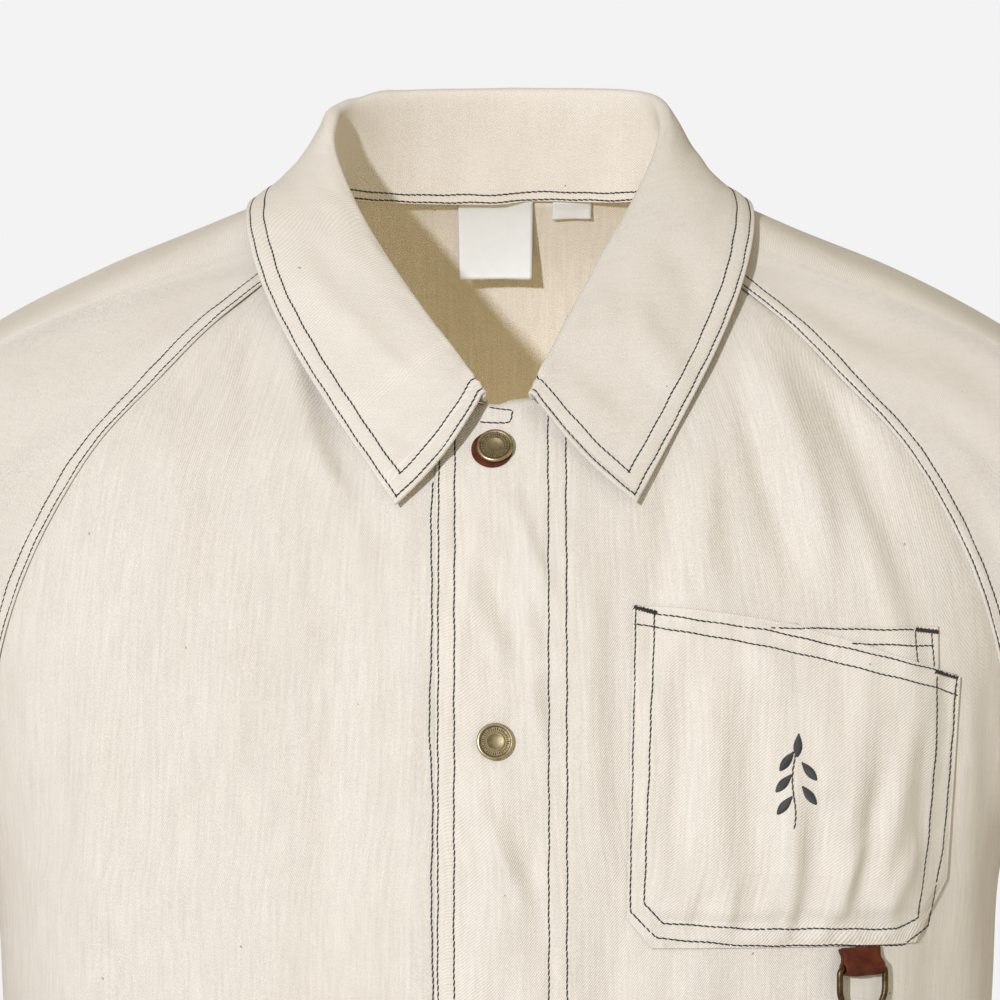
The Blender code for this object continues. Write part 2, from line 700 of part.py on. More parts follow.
def ring_path():
    """Centre line of the D-ring in its own plane: straight bar up, round side down."""
    half = 11.65 * mm
    drop = 20.0 * mm
    corner = 2.4 * mm
    points = []
    for k in range(9):
        points.append((-half + corner + (2 * half - 2 * corner) * k / 8, 0.0))
    for k in range(1, 4):
        a = math.pi / 2 - k * math.radians(100) / 4
        points.append((half - corner + corner * math.cos(a), -corner + corner * math.sin(a)))
    for k in range(0, 17):
        a = math.radians(8) + k * math.radians(164) / 16
        points.append((half * 1.0 * math.cos(a), -(drop - half * 0.99) - half * 0.99 * math.sin(a)))
    for k in range(3, 0, -1):
        a = math.pi / 2 - k * math.radians(100) / 4
        points.append((-(half - corner + corner * math.cos(a)), -corner + corner * math.sin(a)))
    return points


def ring_solid(centre):
    """The D-ring's wire, hung straight down from its bar at centre."""
    path = ring_path()
    sides = 8
    down = np.array([0, 0, -1.0])
    across = np.array([1.0, 0, 0])
    face = np.cross(across, down)
    points = [centre + across * p[0] - down * p[1] for p in path]
    count = len(points)
    vertices = []
    faces = []
    for i in range(count):
        along = unit(points[(i + 1) % count] - points[i - 1])
        side = np.cross(along, face)
        for k in range(sides):
            a = 2 * math.pi * (k + 0.5) / sides
            vertices.append(points[i] + RING_WIRE * (math.cos(a) * side + math.sin(a) * face))
    for i in range(count):
        n = (i + 1) % count
        for k in range(sides):
            m = (k + 1) % sides
            faces.append((i * sides + k, i * sides + m, n * sides + m, n * sides + k))
    return np.array(vertices), faces


def tab_outline(height, hole, thick):
    """Side view of the folded tab: an eye round the bar, two layers sewn together above it."""
    count = 14
    eye = []
    for k in range(count + 1):
        a = math.pi * (-1.08 + 1.16 * k / count)
        eye.append((math.cos(a), math.sin(a)))
    outer = [((hole + thick) * c, (hole + thick) * s) for c, s in eye]
    inner = [(hole * c, hole * s) for c, s in eye]
    back = (-(thick + 0.1 * mm), height)
    front = (thick + 0.1 * mm, height)
    low_back = (-(thick + 0.2 * mm), hole * 1.9)
    low_front = (thick + 0.2 * mm, hole * 1.9)
    return [back, low_back] + outer + [low_front, front], inner + [(0.0, hole * 1.55)]


def leather_tab(centre, top, half_width, hole, thick, lean):
    """One solid: a flat tab with a round eye, pushed through along the bar."""
    outline, hole_ring = tab_outline(top - centre[2], hole, thick)
    shaped = bmesh.new()
    edges = []
    for ring in (outline, hole_ring):
        made = [shaped.verts.new((-half_width, p[0], p[1])) for p in ring]
        edges += [shaped.edges.new((made[i], made[(i + 1) % len(made)])) for i in range(len(made))]
    filled = bmesh.ops.triangle_fill(shaped, use_beauty=True, use_dissolve=False, edges=edges)
    faces = [g for g in filled["geom"] if isinstance(g, bmesh.types.BMFace)]
    pushed = bmesh.ops.extrude_face_region(shaped, geom=faces)
    moved = [g for g in pushed["geom"] if isinstance(g, bmesh.types.BMVert)]
    bmesh.ops.translate(shaped, verts=moved, vec=(2 * half_width, 0, 0))
    shaped.verts.index_update()
    turn_c, turn_s = math.cos(lean), math.sin(lean)
    vertices = []
    for v in shaped.verts:
        y = v.co.y * turn_c + v.co.z * turn_s
        z = -v.co.y * turn_s + v.co.z * turn_c
        vertices.append((centre[0] + v.co.x, centre[1] + y, centre[2] + z))
    out = [tuple(v.index for v in f.verts) for f in shaped.faces]
    shaped.free()
    return np.array(vertices), out


def build():
    for old in list(bpy.data.objects):
        bpy.data.objects.remove(old, do_unlink=True)

    right_grid, right_thick = front_panel(-1)
    left_grid, left_thick = front_panel(1)
    back_grid, back_thick = back_panel()
    add_object("front_right", *wall(right_grid, right_thick, sign=-1.0), ECRU)
    front_left = add_object("front_left", *wall(left_grid, left_thick), ECRU)
    back = add_object("back", *wall(back_grid, back_thick), ECRU)
    for name, side in (("sleeve_right", -1), ("sleeve_left", 1)):
        points, thick = sleeve(side)
        add_object(name, *wall(points, thick, closed=True, sign=float(side)), ECRU)
    add_object("collar", *collar_wall(), ECRU)

    bpy.context.view_layer.update()
    front = tree_of(front_left)

    # pockets
    box = INNER_POCKET
    shares = np.linspace(0, 1, 10)
    x = np.broadcast_to(box["left"] + (box["right"] - box["left"]) * shares, (10, 10))
    z = np.broadcast_to((box["top"] + (box["bottom"] - box["top"]) * shares)[:, None], (10, 10))
    lift = np.full((10, 10), 0.45 * mm)
    inner = add_object("pocket_inner", *patch([front], x, z, lift, np.full((10, 10), 1.0 * mm)), ECRU)

    px = np.array(POCKET["x"]) * mm
    pz = np.array(POCKET["z"]) * mm
    corner = {n: (px[i], pz[i]) for i, n in enumerate(POCKET["corner"])}
    left_line = [corner["top inner"], corner["low inner"], corner["bottom inner"]]
    right_line = [corner["top outer"], corner["side"], corner["low outer"], corner["bottom outer"]]
    rows = 15
    t = np.linspace(0, 1, rows)
    left_t = np.where(t < 0.92, t / 0.92, 1 + (t - 0.92) / 0.08)
    right_t = np.interp(t, (0, 0.76, 0.92, 1), (0, 1, 2, 3))
    across = np.linspace(0, 1, 15)
    grid = outline_grid(polyline(left_line, left_t), polyline(right_line, right_t), across)
    gx, gz = grid[..., 0], grid[..., 1]
    lift = np.full(gx.shape, 0.45 * mm)
    thick = np.full(gx.shape, 1.1 * mm)
    layers = [front, tree_of(inner)]
    add_object("pocket_outer", *patch(layers, gx, gz, lift, thick), ECRU)

    # snaps and the top one's washer
    for number, height in enumerate(SNAP_HEIGHTS, 1):
        place, normal = on_surface(front, SNAP_X, height * mm)
        base = 0.35 * mm if number > 1 else 1.75 * mm
        solid = turned(snap_profile(base), 20, place, normal)
        add_object(f"snap_{number}", *solid, BRASS, 0.4, 0.9, 30)
    washer = disc(front, SNAP_X - 1.3 * mm, SNAP_HEIGHTS[0] * mm - 0.7 * mm, 0.35 * mm, 1.1 * mm, 8.9 * mm, 20)
    add_object("snap_washer", *washer, LEATHER, 0.6, 0.0, 30)

    # leather tab and its ring, hung from an empty on the ring's bar
    ring_x = 150.0 * mm
    ring_z = -323.2 * mm
    place, normal = on_surface(front, ring_x, ring_z)
    yaw = math.atan2(normal[0], -normal[1])
    facing = np.array([math.sin(yaw), -math.cos(yaw), 0.0])
    bar = place + facing * 4.4 * mm
    tab_lean = math.radians(17)
    hinge = bpy.data.objects.new("d_ring_hinge", None)
    hinge.location = bar
    bpy.context.collection.objects.link(hinge)
    ring = turn_about(bar, yaw, *ring_solid(bar))
    add_object("d_ring", *ring, BRASS, 0.35, 0.9, 60, hinge)
    tab_top = ring_z + (-315.1 * mm - ring_z) / math.cos(tab_lean)
    tab = leather_tab(bar, tab_top, 9.7 * mm, 1.75 * mm, 1.3 * mm, tab_lean)
    add_object("leather_loop", *turn_about(bar, yaw, *tab), LEATHER, 0.55, 0.0, 40)

    # labels inside the back of the neck
    behind = tree_of(back)
    for name, left, right, top, bottom, count in (
        ("neck_label", -19.4, 15.3, 12.2, -21.5, 6),
        ("size_tab", 24.5, 42.5, 11.5, 4.5, 4),
    ):
        x = np.linspace(left, right, count)[None, :] * mm * np.ones((count, 1))
        z = np.linspace(top, bottom, count)[:, None] * mm * np.ones((1, count))
        hang = 0.5 * mm + 1.2 * mm * np.linspace(0, 1, count)[:, None] * np.ones((1, count))
        sewn = patch([behind], x, z, hang, np.full((count, count), 0.8 * mm), 0.0)
        add_object(name, *sewn, SATIN, 0.4)
    print("triangles", sum(len(o.data.polygons) for o in bpy.data.objects if o.type == "MESH"))


build()
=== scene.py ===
import math

import bpy
import numpy as np
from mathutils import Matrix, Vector
from mathutils.bvhtree import BVHTree


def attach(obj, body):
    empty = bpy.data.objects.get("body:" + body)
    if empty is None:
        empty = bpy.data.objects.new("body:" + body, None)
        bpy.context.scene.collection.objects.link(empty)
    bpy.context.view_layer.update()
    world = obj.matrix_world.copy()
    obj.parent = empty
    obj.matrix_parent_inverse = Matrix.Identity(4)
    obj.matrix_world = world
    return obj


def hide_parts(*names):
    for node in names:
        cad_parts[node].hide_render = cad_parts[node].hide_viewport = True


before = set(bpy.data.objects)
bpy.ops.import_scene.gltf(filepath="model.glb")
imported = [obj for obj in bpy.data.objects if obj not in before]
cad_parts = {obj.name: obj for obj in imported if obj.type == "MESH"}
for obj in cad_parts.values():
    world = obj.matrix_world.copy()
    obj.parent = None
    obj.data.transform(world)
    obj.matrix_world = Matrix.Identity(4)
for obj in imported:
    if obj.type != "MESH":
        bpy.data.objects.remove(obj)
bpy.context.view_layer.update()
mm = 0.001
degree = math.pi / 180

# camera: level, straight at the placket, 1.9 m in front of it
shot = {"distance": 1.9, "frontY": -0.125, "height": -0.1268, "mmPerPixel": 0.42, "sensor": 36}
cameraPlace = np.array([0.0, shot["frontY"] - shot["distance"], shot["height"]])
cameraData = bpy.data.cameras.new("camera")
cameraData.sensor_width = shot["sensor"]
cameraData.lens = shot["sensor"] / shot["mmPerPixel"] * shot["distance"]
camera = bpy.data.objects.new("camera", cameraData)
camera.location = cameraPlace
camera.rotation_euler = (math.pi / 2, 0, 0)
bpy.context.collection.objects.link(camera)
bpy.context.scene.camera = camera
bpy.context.scene.view_settings.view_transform = "Standard"


def smoothTable(xs, ys, x):
    xs = np.asarray(xs, float)
    ys = np.asarray(ys, float)
    x = np.clip(x, xs[0], xs[-1])
    slope = np.gradient(ys, xs)
    k = np.clip(np.searchsorted(xs, x, side="right") - 1, 0, len(xs) - 2)
    h = xs[k + 1] - xs[k]
    t = (x - xs[k]) / h
    a = (1 + 2 * t) * (1 - t) ** 2 * ys[k] + t**2 * (3 - 2 * t) * ys[k + 1]
    return a + h * (t * (1 - t) ** 2 * slope[k] - t**2 * (1 - t) * slope[k + 1])


def ease(value, low, high):
    t = np.clip((np.asarray(value, float) - low) / (high - low), 0, 1)
    return t * t * (3 - 2 * t)


def bell(value, centre, wide):
    return np.exp(-(((np.asarray(value, float) - centre) / wide) ** 2))


def unit(v):
    return v / np.maximum(np.linalg.norm(v, axis=-1, keepdims=True), 1e-12)


def cloud(u, v, seed, sizeU, sizeV):  # smooth seeded noise between -1 and 1
    grid = np.random.default_rng(seed).uniform(-1, 1, (61, 61))
    x, y = np.asarray(u, float) / sizeU, np.asarray(v, float) / sizeV
    i, j = np.floor(x).astype(int), np.floor(y).astype(int)
    fx, fy = x - i, y - j
    fx, fy = fx * fx * (3 - 2 * fx), fy * fy * (3 - 2 * fy)
    def at(a, b):
        return grid[a % 61, b % 61]
    low = at(i, j) * (1 - fx) + at(i + 1, j) * fx
    high = at(i, j + 1) * (1 - fx) + at(i + 1, j + 1) * fx
    return low * (1 - fy) + high * fy


def creaseSum(creases, p, q):  # soft ridges and troughs along short lines, sizes in mm
    total = np.zeros(np.broadcast(p, q).shape)
    for p1, q1, p2, q2, wide, deep in creases:
        a = np.array([p1, q1]) * mm
        b = np.array([p2, q2]) * mm
        length = np.linalg.norm(b - a)
        way = (b - a) / length
        along = ((p - a[0]) * way[0] + (q - a[1]) * way[1]) / length
        side = (p - a[0]) * way[1] - (q - a[1]) * way[0]
        bend = 0.35 * wide * mm * np.sin(along * 3.3 + p1)  # no crease is quite straight
        fade = ease(along, -0.15, 0.35) * (1 - ease(along, 0.6, 1.15))
        total = total + deep * mm * np.exp(-(((side + bend) / (wide * mm)) ** 2)) * fade
    return total


# the form that all the cloth lies on, half widths and depths in mm by height
form = {
    "height": (-706, -600, -450, -340, -286, -230, -185, -138, -98, -71, -50, -37, -16, 0, 10, 17),
    "width": (229, 226, 223, 221, 225, 243, 256, 264, 262, 250, 227, 200, 160, 124, 103, 86),
    "front": (146, 147, 149, 150, 149, 145, 138, 124, 105, 86, 71, 60, 42, 28, 20, 14),
    "back": (132, 128, 126, 129, 130, 129, 127, 123, 117, 111, 105, 100, 90, 78, 69, 61),
    "square": (2.5, 2.5, 2.5, 2.5, 2.5, 2.45, 2.4, 2.3, 2.2, 2.1, 2.05, 2, 2, 2, 2, 2),
    "axisY": 4 * mm, "underarm": -289 * mm, "hem": -706 * mm, "foldRadius": 190 * mm,
}
neckLine = {
    "angle": (0, 8, 15.5, 27.6, 38.9, 50.4, 61.7, 69.4, 75, 85, 95, 105, 113, 135, 180),
    "height": (-86, -84, -79, -67, -53, -36, -20, -7, 3, 12, 15.5, 15.5, 15, 14, 14),
}
frontSeam = {
    "angle": (69.4, 65.8, 63.8, 63.7, 64.3, 65.4, 67.4, 69.4, 73.4, 78.6, 84.5, 90),
    "height": (-7, -34, -69, -98, -128, -157, -193, -220, -252, -273, -285, -289),
}
backSeam = {
    "angle": (113, 119, 121, 119.5, 117, 114.5, 112, 108.5, 104, 98, 90),
    "height": (15, -12, -45, -80, -115, -150, -190, -230, -260, -280, -289),
}
bodyFolds = (  # angle, height, slant, long, wide, deep
    (-52, -235, 12, 120, 24, 3.5), (-30, -330, 6, 170, 26, -2.5), (-66, -400, 4, 210, 26, 4.0),
    (58, -470, -5, 190, 26, 3.5), (31, -560, -3, 160, 24, -2.5), (84, -420, 6, 170, 24, -3.0),
    (-40, -590, 2, 150, 24, 3.0), (112, -380, -8, 200, 27, 4.5), (150, -300, -14, 190, 26, -3.0),
    (-148, -330, 12, 200, 27, 3.5), (-116, -400, 7, 200, 27, 4.0), (176, -520, 3, 190, 28, 3.5),
    (-165, -560, 2, 150, 25, -3.0), (135, -590, 3, 140, 26, 3.0),
)
cloth = {"thick": 1.2 * mm, "placket": 1.6 * mm, "collar": 1.7 * mm, "gap": 0.45 * mm, "lap": 2.0 * mm}


def foldSum(folds, along, across, wrap):
    total = np.zeros(np.broadcast(along, across).shape)
    for u, v, slant, long, wide, deep in folds:
        du = (across - u + wrap / 2) % wrap - wrap / 2
        dv = along - v
        lean = slant * degree
        side = du * math.cos(lean) - dv * math.sin(lean)
        run = du * math.sin(lean) + dv * math.cos(lean)
        total = total + deep * mm * np.exp(-((side / (wide * mm)) ** 2) - (run / (long * mm)) ** 4)
    return total


def body(theta, z, lift=0.0):
    theta, z = np.broadcast_arrays(np.asarray(theta, float), np.asarray(z, float))
    h = np.array(form["height"]) * mm
    width, front, back = (smoothTable(h, form[k], z) * mm for k in ("width", "front", "back"))
    n = smoothTable(h, form["square"], z)
    c, s = np.cos(theta), np.sin(theta)
    deep = np.where(c >= 0, front, back)
    r = ((np.abs(s) / width) ** n + (np.abs(c) / deep) ** n) ** (-1 / n)
    around = form["foldRadius"]
    placed = [(a * degree * around, v * mm, k, g, w, d) for a, v, k, g, w, d in bodyFolds]
    r = r + foldSum(placed, z, theta * around, 2 * math.pi * around)
    r = r + 2.2 * mm * np.sin(7 * theta + 0.6) * ease(-z, 0.50, 0.70)
    points = np.stack([r * s, form["axisY"] - r * c, z], -1)
    if np.any(lift):
        step = 1e-3
        du = body(theta + step, z) - body(theta - step, z)
        dv = body(theta, z + step) - body(theta, z - step)
        points = points + unit(np.cross(du, dv)) * np.asarray(lift)[..., None]
    return points


def angleAt(x, z):
    theta = np.arctan2(x, 0.1)
    for _ in range(12):
        theta = theta + (x - body(theta, z)[..., 0]) * 8
    return theta


def neckHeight(theta):
    return smoothTable(neckLine["angle"], neckLine["height"], np.abs(np.degrees(theta))) * mm


def seamLine(table, side, t):
    angle = np.radians(table["angle"])
    height = np.array(table["height"]) * mm
    points = body(angle, height)
    run = np.concatenate([[0], np.cumsum(np.linalg.norm(np.diff(points, axis=0), axis=1))])
    return side * smoothTable(run, angle, t * run[-1]), smoothTable(run, height, t * run[-1])


def gridNormals(points, closed, sign):
    down = np.gradient(points, axis=0)
    if closed:
        across = np.roll(points, -1, axis=1) - np.roll(points, 1, axis=1)
    else:
        across = np.gradient(points, axis=1)
    return unit(np.cross(down, across)) * sign


def refine(values, at, closed=False):  # smooth curve through the rows of values
    n = len(values)
    i = np.minimum(np.floor(at).astype(int), n - 1 if closed else n - 2)
    t = (at - i).reshape((-1,) + (1,) * (values.ndim - 1))
    if closed:
        p0, p1, p2, p3 = (values[(i + k) % n] for k in (-1, 0, 1, 2))
    else:
        padded = np.concatenate([2 * values[:1] - values[1:2], values, 2 * values[-1:] - values[-2:-1]])
        p0, p1, p2, p3 = (padded[i + k] for k in (0, 1, 2, 3))
    return 0.5 * (2 * p1 + (p2 - p0) * t + (2 * p0 - 5 * p1 + 4 * p2 - p3) * t**2
                  + (3 * p1 - p0 - 3 * p2 + p3) * t**3)


def roundEdge(distance, thick):  # share of the full thickness this near a folded edge
    t = np.clip(np.asarray(distance, float) / (thick * 0.55), 0, 1)
    return 0.22 + 0.78 * np.sqrt(1 - (1 - t) ** 2)


def arcUv(points, closed):  # metres across and down the cloth
    wide = points if not closed else np.concatenate([points, points[:, :1]], axis=1)
    across = np.linalg.norm(np.diff(wide, axis=1), axis=2)
    u = np.concatenate([np.zeros((len(wide), 1)), np.cumsum(across, axis=1)], axis=1)
    u = u - u[:, wide.shape[1] // 2][:, None]
    down = np.linalg.norm(np.diff(wide, axis=0), axis=2)
    v = np.concatenate([np.zeros((1, wide.shape[1])), np.cumsum(down, axis=0)], axis=0)
    return np.stack([u, v], -1)


def meshPiece(name, vertices, faces, uv=None, sharp=None):
    mesh = bpy.data.meshes.new(name)
    mesh.from_pydata(np.asarray(vertices).tolist(), [], faces)
    if uv is not None:
        layer = mesh.uv_layers.new(name="cloth")
        layer.data.foreach_set("uv", np.asarray(uv, np.float32).ravel())
    mesh.shade_smooth()
    if sharp:
        mesh.set_sharp_from_angle(angle=sharp * degree)
    piece = bpy.data.objects.new(name, mesh)
    bpy.context.collection.objects.link(piece)
    return piece


def shell(name, points, thick, normals, closed=False, uv=None):  # wall with this outer grid
    rows, columns = points.shape[:2]
    inner = points - normals * np.broadcast_to(thick, (rows, columns))[..., None]
    vertices = np.concatenate([points.reshape(-1, 3), inner.reshape(-1, 3)])
    half = rows * columns
    uv = arcUv(points, closed) if uv is None else uv
    last = columns if closed else columns - 1
    i, j = (g.ravel() for g in np.meshgrid(np.arange(rows - 1), np.arange(last), indexing="ij"))
    def quad(corners, sides):
        index = [r * columns + c % columns + half * s for (r, c), s in zip(corners, sides)]
        return np.stack(np.broadcast_arrays(*index), -1), np.stack([uv[r, c] for r, c in corners], 1)
    square = [(i, j), (i, j + 1), (i + 1, j + 1), (i + 1, j)]
    parts = [quad(square, (0, 0, 0, 0)), quad(square[::-1], (1, 1, 1, 1))]
    k = np.arange(last)
    zero, end = np.zeros(last, int), np.full(last, rows - 1)
    parts.append(quad([(zero, k + 1), (zero, k), (zero, k), (zero, k + 1)], (0, 0, 1, 1)))
    parts.append(quad([(end, k), (end, k + 1), (end, k + 1), (end, k)], (0, 0, 1, 1)))
    if not closed:
        k = np.arange(rows - 1)
        zero, end = np.zeros(rows - 1, int), np.full(rows - 1, columns - 1)
        parts.append(quad([(k, zero), (k + 1, zero), (k + 1, zero), (k, zero)], (0, 0, 1, 1)))
        parts.append(quad([(k + 1, end), (k, end), (k, end), (k + 1, end)], (0, 0, 1, 1)))
    faces = np.concatenate([p[0] for p in parts])
    corners = np.concatenate([p[1] for p in parts])
    first = faces[: min(200, len(i))]
    a, b, c = (vertices[first[:, n]] for n in range(3))
    if np.sum(np.cross(b - a, c - b) * normals.reshape(-1, 3)[first[:, 0]]) < 0:
        faces, corners = faces[:, ::-1], corners[:, ::-1]
    return meshPiece(name, vertices, faces.tolist(), corners)


def sample(grid, row, column, closed=False):  # a grid's value between its points
    rows, columns = grid.shape[:2]
    row = np.clip(row, 0, rows - 1 - 1e-9)
    i = np.floor(row).astype(int)
    if closed:
        j = np.floor(column).astype(int)
        nextJ = (j + 1) % columns
        b = (column - j)[..., None]
        j = j % columns
    else:
        column = np.clip(column, 0, columns - 1 - 1e-9)
        j = np.floor(column).astype(int)
        nextJ = j + 1
        b = (column - j)[..., None]
    a = (row - i)[..., None]
    return (grid[i, j] * (1 - a) + grid[i + 1, j] * a) * (1 - b) + (grid[i, nextJ] * (1 - a) + grid[i + 1, nextJ] * a) * b


def lineOn(piece, rows, columns):  # points and normals along a line of grid places
    rows, columns = np.broadcast_arrays(np.asarray(rows, float), np.asarray(columns, float))
    closed = piece.get("closed", False)
    return sample(piece["points"], rows, columns, closed), unit(sample(piece["normals"], rows, columns, closed))


def crossing(field, level, axis):  # place along an axis where a rising field passes a level
    field = field if axis == 0 else field.T
    above = field >= level
    first = np.argmax(above, axis=0)
    first = np.clip(first, 1, len(field) - 1)
    k = np.arange(field.shape[1])
    a, b = field[first - 1, k], field[first, k]
    place = first - 1 + np.clip((level - a) / np.maximum(b - a, 1e-9), 0, 1)
    return np.where(above.any(axis=0), place, np.nan)


print("stage: panels")
frontLook = {
    "placketEdge": 27 * mm, "evenPart": 62 * mm, "columns": 120, "seamRows": 84, "lowRows": 124,
    "underLap": 2.4 * mm,  # how far the cloth goes on under the sleeve
    "sewn": (1.2, 7.9), "facing": (47.3, 54.8),  # stitch rows in mm from the folded edge
    "hem": (17.5, 23.9), "ripple": 0.85 * mm, "crease": {-1: 2.0, 1: 2.9},
}
# creases of the fronts as seen from the front, x z to x z, half width, height, in mm
frontCreases = (
    (-98, -45, -70, -120, 6, 1.6), (-88, -60, -52, -150, 8, -1.2), (-112, -40, -106, -130, 7, -1.4),
    (-150, -75, -128, -190, 10, 1.2), (-60, -130, -48, -260, 8, 0.9), (-74, -150, -70, -300, 9, -0.9),
    (-118, -130, -108, -300, 12, 1.1), (-160, -150, -150, -320, 11, -1.1), (-40, -230, -44, -420, 9, -0.8),
    (-90, -260, -86, -460, 12, 1.2), (-132, -300, -130, -520, 13, -1.2), (-58, -380, -64, -600, 12, 0.9),
    (-175, -200, -168, -360, 9, 1.0), (-185, -330, -180, -560, 13, 1.4), (-110, -480, -104, -690, 12, -1.1),
    (118, -58, 140, -170, 9, 1.7), (104, -72, 128, -165, 7, -1.2), (138, -60, 166, -160, 8, -1.3),
    (150, -110, 178, -240, 8, 1.2), (84, -110, 92, -172, 8, 0.9), (70, -100, 62, -200, 8, -0.9),
    (36, -150, 44, -330, 8, 0.8), (48, -240, 44, -470, 9, -0.8), (60, -340, 64, -520, 12, 1.2),
    (100, -330, 104, -480, 11, -1.1), (140, -345, 146, -520, 12, 1.2), (178, -320, 182, -520, 11, -1.2),
    (88, -470, 92, -690, 12, 1.1), (150, -500, 156, -690, 12, -1.0), (196, -200, 201, -330, 7, 0.9),
    (2, -126, 28, -178, 4.5, 0.8), (-8, -146, 16, -208, 4.5, -0.55), (8, -160, 20, -240, 4, 0.75),
    (-14, -160, 2, -200, 4, 0.5), (-14, -240, 10, -300, 4.5, 0.7), (6, -250, 20, -330, 5, -0.5), (-10, -330, 12, -420, 5, 0.7),
    (-86, -100, -60, -128, 4, 0.8), (-30, -148, -34, -230, 5, 0.6),
)


def seamShare(u):
    return 1 - (1 - u) ** 1.15


